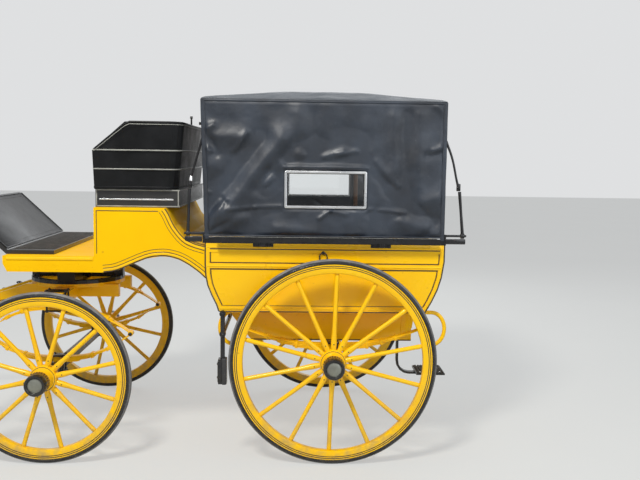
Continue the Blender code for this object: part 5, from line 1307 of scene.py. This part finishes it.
# Springs: separate leaves with clips, rolled eyes and U bolts
springLook = {"width": 0.045, "rear": {"half": 0.485, "camber": 0.085, "leaf": 0.008,
                                       "shares": (1.0, 0.8, 0.62, 0.44, 0.27)},
              "front": {"half": 0.4, "leaf": 0.0075, "shares": (1.0, 0.76, 0.52, 0.3)}, "eye": 0.014}


# Leaves whose ends turn up, or down where flip mirrors them at a height, and their clamp.
def leaves(shape, x, seat, y, row, camber, wide, deep, flip=None):
    half, leaf, shares = row["half"], row["leaf"], row["shares"]
    flat = half * shares[-1] / 2
    depth = leaf * len(shares)

    def lift(run):
        return camber * (max(abs(run) - flat, 0) / (half - flat)) ** 2

    def turned(z):
        return z if flip is None else 2 * flip - z
    for level, share in enumerate(shares):
        reach = half * share
        path = []
        for step in range(33):
            run = reach * (step / 16 - 1)
            path.append(vec(x + run, y, turned(seat + depth - leaf * (level + 0.5) + lift(run))))
        scales = [1.0] * 33
        if level:
            scales[0] = scales[-1] = 0.55
            scales[1] = scales[-2] = 0.97
        sweep(shape, path, slab(leaf * 0.9, springLook["width"], 0.0014, 1), (0, 0, 1), scales=scales)
        if level and level < len(shares) - 1:
            for way in (-1, 1):
                run = way * reach * 0.9
                z = turned(seat + depth - leaf * (level + 1) / 2 + lift(run))
                high = leaf * (level + 1) / 2 + 0.003
                slope = atan(2 * camber * max(reach * 0.9 - flat, 0) / (half - flat) ** 2)
                slope *= way if flip is None else -way
                place = Matrix.Translation((x + run, y, z)) @ Matrix.Rotation(-slope, 4, "Y")
                block(shape, (-0.008, -0.0258, -high), (0.008, 0.0258, high), 0.002, 0, place)
    for out in (-0.0282, 0.0282):
        for move in (-wide, wide):
            ends = sorted((turned(seat - deep - 0.013), turned(seat + depth + 0.012)))
            bar(shape, (x + move, y + out, ends[0]), (x + move, y + out, ends[1]), 0.005, 10, 1)
            for z, way in ((seat - deep - 0.0062, -1), (seat + depth + 0.0072, 1)):
                normal = (0, 0, way if flip is None else -way)
                bolt(shape, (x + move, y + out, turned(z)), normal, 0.0085, 0.006, 6, 1)
    for low, high in ((depth + 0.0002, depth + 0.0075), (-deep - 0.0065, -deep - 0.0004)):
        ends = sorted((turned(seat + low), turned(seat + high)))
        block(shape, (x - wide - 0.01, y - 0.036, ends[0]), (x + wide + 0.01, y + 0.036, ends[1]), 0.002, 1)


def eye(shape, x, y, z, radius, half):
    turn = Matrix.Translation((x, y, z)) @ Matrix.Rotation(pi / 2, 4, "X")
    profile = [(radius * 0.5, -half), (radius - 0.002, -half), (radius, 0.002 - half), (radius, half - 0.002),
               (radius - 0.002, half), (radius * 0.5, half)]
    revolve(shape, profile, 20, turn, closed=True)
    bar(shape, (x, y - half - 0.012, z), (x, y + half + 0.012, z), radius * 0.48, 12, 1)
    for way in (-1, 1):
        bolt(shape, (x, y + way * (half + 0.0065), z), (0, way, 0), radius * 0.8, 0.0075, 6, 1)


rearLow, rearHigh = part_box("rear_spring_left")
frontLow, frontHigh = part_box("front_spring_left")
for side, sign in sides:
    row = springLook["rear"]
    y = (rearLow.y + rearHigh.y) / 2
    shape = bmesh.new()
    seat = rearLow.z
    leaves(shape, rearX, seat, y, row, row["camber"], 0.03, 0.0455)
    eyeZ = seat + row["leaf"] * (len(row["shares"]) - 0.5) + row["camber"]
    for way, end in ((1, 0.546), (-1, 0.537)):
        x = rearX + way * row["half"]
        eye(shape, x, y, eyeZ, springLook["eye"], springLook["width"] / 2)
        lowX, lowZ = rearX + way * end, 0.621
        for out in (-0.0265, 0.0265):
            link = [vec(x, y + out, eyeZ), vec(lowX, y + out, lowZ)]
            sweep(shape, link, slab(0.005, 0.02, 0.002, 2), (0, 1, 0), material=1)
            for point in link:
                bar(shape, point - vec(0, 0.0028, 0), point + vec(0, 0.0028, 0), 0.0125, 16, 1)
                bolt(shape, point + vec(0, copysign(0.0028, out), 0), (0, out, 0), 0.008, 0.005, 6, 1)
        bar(shape, (lowX, y - 0.026, lowZ), (lowX, y + 0.026, lowZ), 0.0068, 14, 1)
    piece(f"rearLeaves_{side}", shape, (yellow, iron), replaced=(f"rear_spring_{side}",), angle=40,
          mirrored=sign > 0)

    row = springLook["front"]
    y = (frontLow.y + frontHigh.y) / 2
    middle = (frontLow.z + frontHigh.z) / 2
    camber = middle - frontLow.z - row["leaf"] * len(row["shares"])
    shape = bmesh.new()
    leaves(shape, foreX, frontLow.z, y, row, camber, 0.03, 0.0455)
    leaves(shape, foreX, frontLow.z, y, row, camber, 0.0515, 0.0724, middle)
    for way in (-1, 1):
        eye(shape, foreX + way * row["half"], y, middle, springLook["eye"], springLook["width"] / 2)
    piece(f"frontLeaves_{side}", shape, (yellow, iron), body="fore_carriage",
          replaced=(f"front_spring_{side}",), angle=40, mirrored=sign > 0)
say("springs")


# Scroll irons: round forged loops on an edge plate
scrollLook = {"low": 0.6027, "run": 0.074, "radius": 0.011, "eye": 0.0128, "eyeHalf": 0.024, "steps": 32,
              "plate": (-0.497, 0.505), "plateHalf": 0.02, "plateThick": 0.0122, "boltOut": 0.009,
              "bolts": (-0.46, -0.3, -0.12, 0.06, 0.24, 0.38, 0.47)}
scrollLow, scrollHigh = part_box("scroll_iron_left")
for side, sign in sides:
    look = scrollLook
    y = (scrollLow.y + scrollHigh.y) / 2
    shape = bmesh.new()
    top, low, run = scrollHigh.z - 0.01155, look["low"], look["run"]
    middle, climb = (top + low) / 2, (top - low) / 2
    for way, reach in ((1, scrollHigh.x - rearX), (-1, rearX - scrollLow.x)):
        far = reach - 0.011
        path = [at(way * (far - run - 0.075), y, top), at(way * (far - run - 0.04), y, top)]
        for step in range(look["steps"] + 1):
            turn = pi / 2 - pi * step / look["steps"]
            path.append(at(way * (far - run + run * cos(turn)), y, middle + climb * sin(turn)))
        sweep(shape, path, circle(look["radius"], 16), (0, 1, 0))
        half = vec(0, look["eyeHalf"], 0)
        bar(shape, path[-1] - half, path[-1] + half, look["eye"], 18)
    front, back = look["plate"]
    under = scrollHigh.z - look["plateThick"]
    block(shape, at(front, y - look["plateHalf"], under), at(back, y + look["plateHalf"], scrollHigh.z - 0.0002), 0.003)
    for x in look["bolts"]:
        for out in (-look["boltOut"], look["boltOut"]):
            bolt(shape, at(x, y + out, under), (0, 0, -1), 0.006, 0.0042, 6, 1)
    piece(f"scrollDetail_{side}", shape, (yellow, iron), replaced=(f"scroll_iron_{side}",),
          mirrored=sign > 0)
say("scroll irons")


# Well, step, brake and turntable trim
wellLook = {"side": 0.4212, "rear": 2.161, "board": 2.128, "boardBolts": (0.65, 0.703, 0.756), "ribs": 21,
            "ribGap": 0.04, "stepRibs": 9, "stepRibGap": 0.018}
tableLook = {"bolts": 12, "boltIn": 0.018, "washer": 0.9016, "pin": (0.77, 0.801),
             "studs": ((-0.032, -0.2), (0.032, -0.2), (-0.032, 0.2), (0.032, 0.2), (-0.032, -0.09), (0.032, 0.09)),
             "lines": (0.8085, 0.862)}
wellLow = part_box("footwell")[0]
stepLow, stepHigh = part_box("rear_step")
brakeLow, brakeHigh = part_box("brake_gear")
shape = bmesh.new()
for way in (-1, 1):
    y = way * wellLook["side"]
    for x, z, high, paint in ((1.262, wellLow.z + 0.004, 0.006, 1), (1.15, 0.783, 0.014, 0)):
        line = [(x, y, z), (wellLook["rear"], y, z)]
        sweep(shape, line, slab(high, 0.0024, 0.0008, 1), (0, 0, 1), material=paint)
    board = [(wellLook["board"], y, z) for z in (0.632, 0.774)]
    sweep(shape, board, slab(0.052, 0.0044, 0.0014, 2), (1, 0, 0))
    for z in wellLook["boardBolts"]:
        bolt(shape, (wellLook["board"], y + way * 0.0022, z), (0, way, 0), 0.005, 0.0024, 8)
rib = bmesh.new()
block(rib, (1.295, -0.385, 0.6222), (1.319, 0.385, 0.6268), 0.0015)
repeated(shape, rib, mat, wellLook["ribs"], step=(wellLook["ribGap"], 0, 0), paint=3)
piece("wellTrim", shape, (yellow, coachLine, iron, mat))

shape = bmesh.new()
block(shape, (stepHigh.x - 0.17, stepLow.y + 0.005, stepLow.z + 0.0242),
      (stepHigh.x - 0.005, stepHigh.y - 0.005, stepLow.z + 0.0272), 0.001, 1)
rib = bmesh.new()
block(rib, (stepHigh.x - 0.162, stepLow.y + 0.01, stepLow.z + 0.0268),
      (stepHigh.x - 0.153, stepHigh.y - 0.01, stepLow.z + 0.0305), 0.0012)
repeated(shape, rib, mat, wellLook["stepRibs"], step=(wellLook["stepRibGap"], 0, 0), paint=1)
for x in (stepHigh.x - 0.15, stepHigh.x - 0.03):
    for y in (-0.075, 0.075):
        bolt(shape, (x, y, stepLow.z + 0.0272), (0, 0, 1), 0.006, 0.004, 10, 2)
for y in (-0.01, 0.01):
    bolt(shape, (2.085, y, 0.5876), (0, 0, -1), 0.006, 0.005, 6)
piece("stepTrim", shape, (iron, mat, nickel))

shape = bmesh.new()
for side, sign in sides:
    y, middle = sign * wheelY, (brakeLow.x + brakeHigh.x) / 2
    block(shape, (brakeLow.x + 0.018, y - 0.027, brakeLow.z - 0.004),
          (brakeHigh.x - 0.0004, y + 0.027, brakeLow.z + 0.136), 0.006, 1)
    block(shape, (brakeLow.x - 0.003, y - 0.028, brakeLow.z + 0.01),
          (brakeLow.x + 0.02, y + 0.028, brakeLow.z + 0.122), 0.004)
    for z in (0.03, 0.102):
        bolt(shape, (brakeLow.x - 0.003, y, brakeLow.z + z), (-1, 0, 0), 0.0075, 0.0055, 6)
    for z in (0.7, 0.808):
        bar(shape, (middle, y - 0.017, z), (middle, y + 0.017, z), 0.0165, 16)
        bolt(shape, (middle, y + sign * 0.017, z), (0, sign, 0), 0.0085, 0.0055, 6)
    for z in (0.745, 0.78):
        bolt(shape, (brakeLow.x + 0.016, sign * 0.3, z), (-1, 0, 0), 0.006, 0.004, 6)
piece("brakeTrim", shape, (iron, rubber))

upperLow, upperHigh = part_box("upper_turntable")
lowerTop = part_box("lower_turntable")[1].z
boltRing = (upperHigh.y - upperLow.y) / 2 - tableLook["boltIn"]
shape = bmesh.new()
for index in range(tableLook["bolts"]):
    turn = 2 * pi * (index + 0.5) / tableLook["bolts"]
    x, y = foreX + boltRing * cos(turn), boltRing * sin(turn)
    if abs(x - foreX) > 0.07 and abs(y) > 0.045:
        bolt(shape, (x, y, tableLook["washer"]), (0, 0, 1), 0.0078, 0.006, 6)
for x, y in tableLook["studs"]:
    bar(shape, (foreX + x, y, 0.9), (foreX + x, y, 0.9992), 0.0062, 10)
bar(shape, *((foreX, 0, z) for z in tableLook["pin"]), 0.013, 18)
bolt(shape, (foreX, 0, 0.7985), (0, 0, -1), 0.026, 0.017, 6)
piece("upperTurntableTrim", shape, (iron,))

shape = bmesh.new()
for index in range(tableLook["bolts"]):
    turn = 2 * pi * index / tableLook["bolts"]
    x, y = foreX + boltRing * cos(turn), boltRing * sin(turn)
    bolt(shape, (x, y, lowerTop - 0.02), (0, 0, -1), 0.0075, 0.004, 8, 1)
for way in (-1, 1):
    for sign in (-1, 1):
        for z in tableLook["lines"]:
            line = [(foreX + way * 0.0452, sign * y, z) for y in (0.285, 0.492)]
            sweep(shape, line, slab(0.0036, 0.0016, 0.0005, 1), (0, 0, 1), material=2)
for sign in (-1, 1):
    for y in (-0.0206, 0.0206):
        ends = [(x, sign * 0.17 + y, z) for x, z in ((-0.336, 0.748), (foreX - 0.052, 0.835))]
        sweep(shape, ends, slab(0.0046, 0.0014, 0.0004, 1), (0, 0, 1), material=2)
piece("lowerTurntableTrim", shape, (yellow, iron, coachLine), body="fore_carriage")
say("undercarriage")


# Splinter bar with its roller bolts
splinterLook = {"rollers": (-0.5, -0.235, 0.235, 0.5), "cap": 0.549, "capWidth": 0.03, "clamp": 0.36}
barLow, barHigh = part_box("splinter_bar")
shape = bmesh.new()
for y in splinterLook["rollers"]:
    spot = vec(barHigh.x - 0.0275, y, barHigh.z - 0.001)
    profile = [(0, 0.05), (0.012, 0.049), (0.019, 0.044), (0.02, 0.04), (0.014, 0.036), (0.011, 0.02),
               (0.013, 0.008), (0.022, 0.004), (0.023, 0.0)]
    revolve(shape, profile, 18, Matrix.Translation(spot))
for y in (-splinterLook["cap"], splinterLook["cap"]):
    inner = y - copysign(splinterLook["capWidth"], y)
    block(shape, (barHigh.x - 0.058, min(y, inner), barLow.z - 0.003),
          (barHigh.x + 0.003, max(y, inner), barHigh.z + 0.003), 0.004, 1)
for y in (-splinterLook["clamp"], splinterLook["clamp"]):
    for out in (-0.036, 0.036):
        bolt(shape, (barLow.x + 0.02, y + copysign(0.0352, out), 0.7), (0, out, 0), 0.0125, 0.0075, 6)
piece("splinterTrim", shape, (iron, nickel), body="fore_carriage")


# Shafts: bent timber with leather wraps, iron sockets, tug stops and capped tips
# Bands: shares of the length, thickness, paint. Loops: share, size.
shaftLook = {"pivotX": -0.405683, "pivotZ": 0.7, "length": 2.12, "rise": 0.17, "rest": radians(21.635),
             "side": 0.36, "radius": 0.0257, "tip": 0.0184,
             "bands": ((0.5, 0.66, 0.0018, 2), (0.3, 0.345, 0.0014, 1), (0.8, 0.83, 0.0014, 1)),
             "loops": ((0.66, 0.017), (0.42, 0.014), (0.335, 0.014))}
shaftRows = ((0.0, 0.0), (0.1, 0.12), (0.22, 0.5), (0.38, 0.85), (0.58, 1.0), (0.8, 0.95), (1.0, 0.62))


def shaftPlace(run, height):
    look = shaftLook
    turn = look["rest"]
    return vec(look["pivotX"] - run * cos(turn) - height * sin(turn), -look["side"],
               look["pivotZ"] - run * sin(turn) + height * cos(turn))


for side, sign in sides:
    look = shaftLook
    shape = bmesh.new()
    path = smooth([shaftPlace(look["length"] * a, look["rise"] * b) for a, b in shaftRows], 12)
    count = len(path)
    shares = [index / (count - 1) for index in range(count)]

    def shaftRadius(share):
        return between(look["radius"], look["tip"], rise(share - 0.25, 0.75))
    section = circle(1.0, 18)
    first = next(index for index, share in enumerate(shares) if share > 0.03)
    sweep(shape, path[first:], section, (0, 1, 0), scales=[shaftRadius(share) for share in shares[first:]])
    socket = [path[0].lerp(path[first], share) for share in (0.22, 0.5, 0.8, 1.0)] + path[first + 1:first + 6]
    socketRadii = (0.015, 0.0165, 0.0235, 0.0272, 0.0272, 0.0272, 0.027, 0.0268, 0.0266)
    sweep(shape, socket, section, (0, 1, 0), scales=socketRadii[:len(socket)], material=1)
    turn = Matrix.Translation(path[0]) @ Matrix.Rotation(pi / 2, 4, "X")
    revolve(shape, [(0.0096, -0.0198), (0.0185, -0.0198), (0.02, -0.018), (0.02, 0.018), (0.0185, 0.0198),
                    (0.0096, 0.0198)], 24, turn, 1, closed=True)
    for low, high, extra, paint in look["bands"]:
        part = [point for point, share in zip(path, shares) if low <= share <= high]
        radii = [shaftRadius(share) + extra for share in shares if low <= share <= high]
        if len(part) > 1:
            radii[0] -= extra
            radii[-1] -= extra
            sweep(shape, part, section, (0, 1, 0), scales=radii, material=paint)
    for share, size in look["loops"]:
        index = min(range(count), key=lambda i: abs(shares[i] - share))
        point = path[index]
        ahead = (path[index + 1] - path[index - 1]).normalized()
        over = vec(0, 1, 0).cross(ahead)
        if over.z < 0:
            over = -over
        lift = shaftRadius(share) - 0.002
        loop = [point + over * (lift + size * 1.25 * sin(pi * step / 12))
                + ahead * (size * 1.5 * cos(pi * step / 12)) for step in range(13)]
        sweep(shape, loop, circle(0.004, 10), (0, 1, 0), material=1)
        for way in (-1, 1):
            foot = point + over * (lift + 0.003) + ahead * (way * size * 1.5)
            bolt(shape, foot, over, 0.0085, 0.004, 12, 1)
    tipWay = (path[-1] - path[-2]).normalized()
    turn = vec(0, 0, 1).rotation_difference(tipWay).to_matrix().to_4x4()
    cap = [(look["tip"] + 0.001, -0.05), (look["tip"] + 0.0016, -0.044), (look["tip"] + 0.0012, -0.012),
           (look["tip"] - 0.002, -0.004), (look["tip"] * 0.6, -0.0006), (0, 0)]
    revolve(shape, cap, 20, Matrix.Translation(path[-1]) @ turn, 3)
    piece(f"shaftDetail_{side}", shape, (yellow, iron, seatLeather, brass), body="shafts",
          replaced=(f"shaft_{side}",), mirrored=sign > 0)
crossLow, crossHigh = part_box("shaft_crossbar")
shape = bmesh.new()
middle = (crossLow + crossHigh) / 2
for y in (crossLow.y, crossHigh.y):
    way = -copysign(1, y)
    bar(shape, (middle.x, y, middle.z), (middle.x, y + way * 0.035, middle.z), 0.0205, 18)
for y in (-0.1, 0.1):
    bar(shape, (middle.x, y - 0.012, middle.z), (middle.x, y + 0.012, middle.z), 0.02, 18, 1)
piece("crossbarTrim", shape, (iron, seatLeather), body="shafts")
say("shafts")


# Footboard: leather dash with welted edge, ribbed mat and irons
dashLook = {"foot": (-0.0362, 0, 1.1073), "crest": (-0.3128, 0, 1.3644), "edge": 0.512, "seam": 0.485, "rail": 0.519,
            "stays": (-0.4, 0.0, 0.4), "stayBolts": (0.05, 0.17, 0.28), "ribs": 15, "ribGap": 0.0145}
shape = bmesh.new()
foot, crest = Vector(dashLook["foot"]), Vector(dashLook["crest"])
way = (crest - foot).normalized()
over = vec(-way.z, 0, way.x)
if over.x < 0:
    over = -over
reach = (crest - foot).length


# A loop on the dash, at a distance from its middle line and with a margin below and above.
def dashLoop(edge, below, above):
    return [vec(0, y, 0) + foot + way * run + over * 0.003
            for y, run in ((-edge, below), (edge, below), (edge, reach - above), (-edge, reach - above))]


border = dashLoop(dashLook["edge"], 0.012, 0.008)
panel = [foot + way * run + over * 0.0014 for run in (0.01, reach - 0.006)]
sweep(shape, panel, slab(0.0028, 1.03, 0.001, 1), over)
sweep(shape, border, circle(0.004, 8), over, closed=True)
inner = dashLoop(dashLook["seam"], 0.038, 0.034)
stitches(shape, inner + inner[:1], coarseThread, over, 1)
rail = [crest + over * -0.01 + way * 0.004 + vec(0, y, 0) for y in (-dashLook["rail"], dashLook["rail"])]
sweep(shape, rail, circle(0.0085), (0, 0, 1), material=2)
for y in dashLook["stays"]:
    stay = [foot + way * run - over * 0.025 + vec(0, y, 0) for run in (0.012, 0.16, 0.3)]
    sweep(shape, stay, slab(0.006, 0.026, 0.002, 2), over, material=2)
    for run in dashLook["stayBolts"]:
        bolt(shape, foot + way * run - over * 0.028 + vec(0, y, 0), -over, 0.0065, 0.004, 8, 2)
rib = bmesh.new()
block(rib, (-0.018, -0.47, 1.1076), (-0.0095, 0.47, 1.1118), 0.0012)
repeated(shape, rib, mat, dashLook["ribs"], step=(dashLook["ribGap"], 0, 0), paint=3)
block(shape, (-0.024, -0.476, 1.1074), (0.2, 0.476, 1.1092), 0.0008, 3)
piece("dashLeather", shape, (seatLeather, coachLine, iron, mat))
say("footboard")


# Rear door and end: sunk panels, coach lines, handle; a ring pull on each side
endLook = {"border": 0.03, "line": 0.0042, "rail": 0.024, "high": 1.158, "waist": 1.0425, "lowRail": 0.815,
           "door": 0.257, "doorLow": 0.64, "quarter": 0.558, "pull": 0.021, "pullSteps": 24}


# Points down an end panel's outer face, seen from behind or ahead.
def endLine(node, low, high, y, out, steps=12):
    tree = BVHTree.FromPolygons([vert.co for vert in nodes[node].data.vertices],
                                [tuple(face.vertices) for face in nodes[node].data.polygons])
    way = 1 if out > 0 else -1
    rows = []
    for step in range(steps + 1):
        z = between(low, high, step / steps)
        hit = tree.ray_cast(vec(rearX + way * 2.0, y, z), vec(-way, 0, 0))[0]
        if hit is not None:
            rows.append(hit + vec(out, 0, 0))
    return rows


def endPanel(shape, node, yLow, yHigh, zLow, zHigh, rails):
    border, line = endLook["border"], endLook["line"]
    for y, way in ((yLow + border / 2, 1), (yHigh - border / 2, -1)):
        sweep(shape, endLine(node, zLow, zHigh, y, 0.0018), slab(border, 0.004, 0.0012, 2), (0, 1, 0))
        rows = endLine(node, zLow + border, zHigh - border, y + way * (border / 2 + line), 0.001)
        sweep(shape, rows, slab(line, 0.0016, 0.0004, 1), (0, 1, 0), material=1)
    middle, wide = (yLow + yHigh) / 2, yHigh - yLow
    bars = [(zLow + border / 2, border), (zHigh - border / 2, border), *((rail, endLook["rail"]) for rail in rails)]
    for z, width in bars:
        rows = endLine(node, z - width / 2, z + width / 2, middle, 0.0018, 4)
        sweep(shape, rows, slab(wide - 0.002, 0.004, 0.0012, 2), (0, 1, 0))
        for move in (-width / 2 - line, width / 2 + line):
            if zLow + border / 2 < z + move < zHigh - border / 2:
                rows = endLine(node, z + move - line / 2, z + move + line / 2, middle, 0.001, 1)
                sweep(shape, rows, slab(wide - 2 * border - line, 0.0016, 0.0004, 1), (0, 1, 0), material=1)


shape = bmesh.new()
endPanel(shape, "rear_door", -endLook["door"], endLook["door"], endLook["doorLow"], endLook["high"],
         (endLook["waist"], endLook["lowRail"]))
knob = endLine("rear_door", 1.095, 1.096, -0.205, 0.0, 1)[0]
bar(shape, knob, knob + vec(0.03, 0, 0), 0.0072, 14, 2)
bar(shape, knob + vec(0.024, -0.006, 0), knob + vec(0.024, 0.062, -0.006), 0.007, 14, 2, 0.005)
bolt(shape, knob, (1, 0, 0), 0.019, 0.004, 18, 2)
piece("rearDoorTrim", shape, (yellow, coachLine, nickel), body="rear_door")

shape = bmesh.new()
for name, low, high in (("rear_quarter_left", -endLook["quarter"], -0.272),
                        ("rear_quarter_right", 0.29, endLook["quarter"])):
    endPanel(shape, name, low, high, endLook["lowRail"], endLook["high"], (endLook["waist"],))
for side, sign in sides:
    y = sign * (bodyFace + panelLook["depth"] * 0.2)
    spot = at(-0.055, y, 1.117)
    bolt(shape, spot, (0, sign, 0), 0.0115, 0.0045, 16, 2)
    bar(shape, spot, spot + vec(0, sign * 0.011, 0), 0.0042, 10, 2)
    ring = []
    for step in range(endLook["pullSteps"]):
        turn = 2 * pi * step / endLook["pullSteps"]
        ring.append(spot + vec(endLook["pull"] * sin(turn), sign * 0.0085, -0.0245 + 0.025 * cos(turn)))
    sweep(shape, ring, circle(0.0034, 8), (0, 1, 0), closed=True, material=2)
piece("endTrim", shape, (yellow, coachLine, iron))
say("door and ends")


# Seat boxes: boarded fronts with battens
boardLook = {"count": 11, "thick": 0.006, "rail": 0.012, "railHigh": 0.024, "groove": 0.0015}
for side, sign in sides:
    look = boardLook
    low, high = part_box(f"seat_box_{side}")
    y = high.y if sign < 0 else low.y
    shape = bmesh.new()
    width = (high.x - low.x) / look["count"]
    face = y - sign * look["thick"]
    board = bmesh.new()
    block(board, (low.x + look["groove"], min(y, face), low.z + 0.004),
          (low.x + width - look["groove"], max(y, face), high.z - look["railHigh"]), look["groove"])
    repeated(shape, board, wood, look["count"], step=(width, 0, 0))
    face = y - sign * look["rail"]
    block(shape, (low.x + 0.002, min(y, face), high.z - look["railHigh"]),
          (high.x - 0.002, max(y, face), high.z - 0.001), 0.003)
    piece(f"seatBoards_{side}", shape, (wood,))
say("seat boxes")


# Camera and light
# A camera that looks along +Y, turned to +X by yaw and down by pitch, then rolled.
def aim(place, yaw, pitch, roll):
    ahead = vec(sin(yaw) * cos(pitch), cos(yaw) * cos(pitch), -sin(pitch))
    right = ahead.cross(vec(0, 0, 1)).normalized()
    over = right.cross(ahead)
    tilted = right * cos(roll) + over * sin(roll)
    upward = over * cos(roll) - right * sin(roll)
    turn = Matrix((tilted, upward, -ahead)).transposed()
    return Matrix.Translation(place) @ turn.to_4x4()


view = {"place": at(-0.2079, -4.815, 1.6263), "yaw": 1.821, "pitch": 5.946, "roll": 0.815, "lens": 44.85}
lens = bpy.data.cameras.new("photoCamera")
lens.lens = view["lens"]
lens.sensor_width = 36.0
camera = linked("photoCamera", lens)
camera.matrix_world = aim(view["place"], *(radians(view[key]) for key in ("yaw", "pitch", "roll")))
bpy.context.scene.camera = camera


def addArea(name, place, target, size, power, colour):
    data = bpy.data.lights.new(name, "AREA")
    data.shape = "DISK"
    data.size = size
    data.energy = power
    data.color = colour
    lamp = linked(name, data)
    lamp.location = place
    lamp.rotation_euler = (Vector(target) - Vector(place)).to_track_quat("-Z", "Y").to_euler()


addArea("keyLight", at(-2.2, -4.6, 6.4), at(0, 0, 0.9), 1.3, 430, (1.0, 0.965, 0.9))
addArea("fillLight", at(3.2, -4.5, 3.0), at(0, 0, 0.9), 4.0, 70, (0.9, 0.95, 1.0))
addArea("backLight", at(0.5, 5.0, 4.5), at(0, 0, 1.0), 4.0, 110, (0.95, 0.98, 1.0))
world = bpy.data.worlds.new("paleWorld")
bpy.context.scene.world = world
world.use_nodes = True
tree = world.node_tree
add = adder(tree)
back = tree.nodes["Background"]
back.inputs["Color"].default_value = (0.9, 0.93, 0.97, 1.0)
back.inputs["Strength"].default_value = 0.36
sky = add("ShaderNodeBackground", {"Color": (0.9, 0.91, 0.92, 1.0), "Strength": 0.82})
rays = add("ShaderNodeLightPath").node.outputs
seen = rays["Is Camera Ray"]
for kind in ("Is Glossy Ray", "Is Transmission Ray"):
    seen = add("ShaderNodeMath", {0: seen, 1: rays[kind]}, operation="MAXIMUM")
choice = add("ShaderNodeMixShader", {"Fac": seen, 1: back.outputs["Background"], 2: sky})
tree.links.new(choice, tree.nodes["World Output"].inputs["Surface"])
floorGrey = material("floorGrey", (0.62, 0.63, 0.61), (0.6, 0.61, 0.59), 0.7, (0.8, 0.9))
tree = floorGrey.node_tree
add = adder(tree)
rays = add("ShaderNodeLightPath").node.outputs
share = add("ShaderNodeMath", {0: rays["Is Camera Ray"], 1: 0.55}, operation="MULTIPLY")
glow = add("ShaderNodeEmission", {"Color": (0.8, 0.81, 0.81, 1.0)})
choice = add("ShaderNodeMixShader", {"Fac": share, 1: tree.nodes["Principled BSDF"].outputs["BSDF"], 2: glow})
tree.links.new(choice, tree.nodes["Material Output"].inputs["Surface"])
shape = bmesh.new()
bmesh.ops.create_grid(shape, x_segments=2, y_segments=2, size=30.0, matrix=Matrix.Translation((0, 0, -0.0006)))
floor = piece("paleFloor", shape, (floorGrey,), body=None)
bpy.context.scene.view_settings.view_transform = "Standard"
say("camera and light")
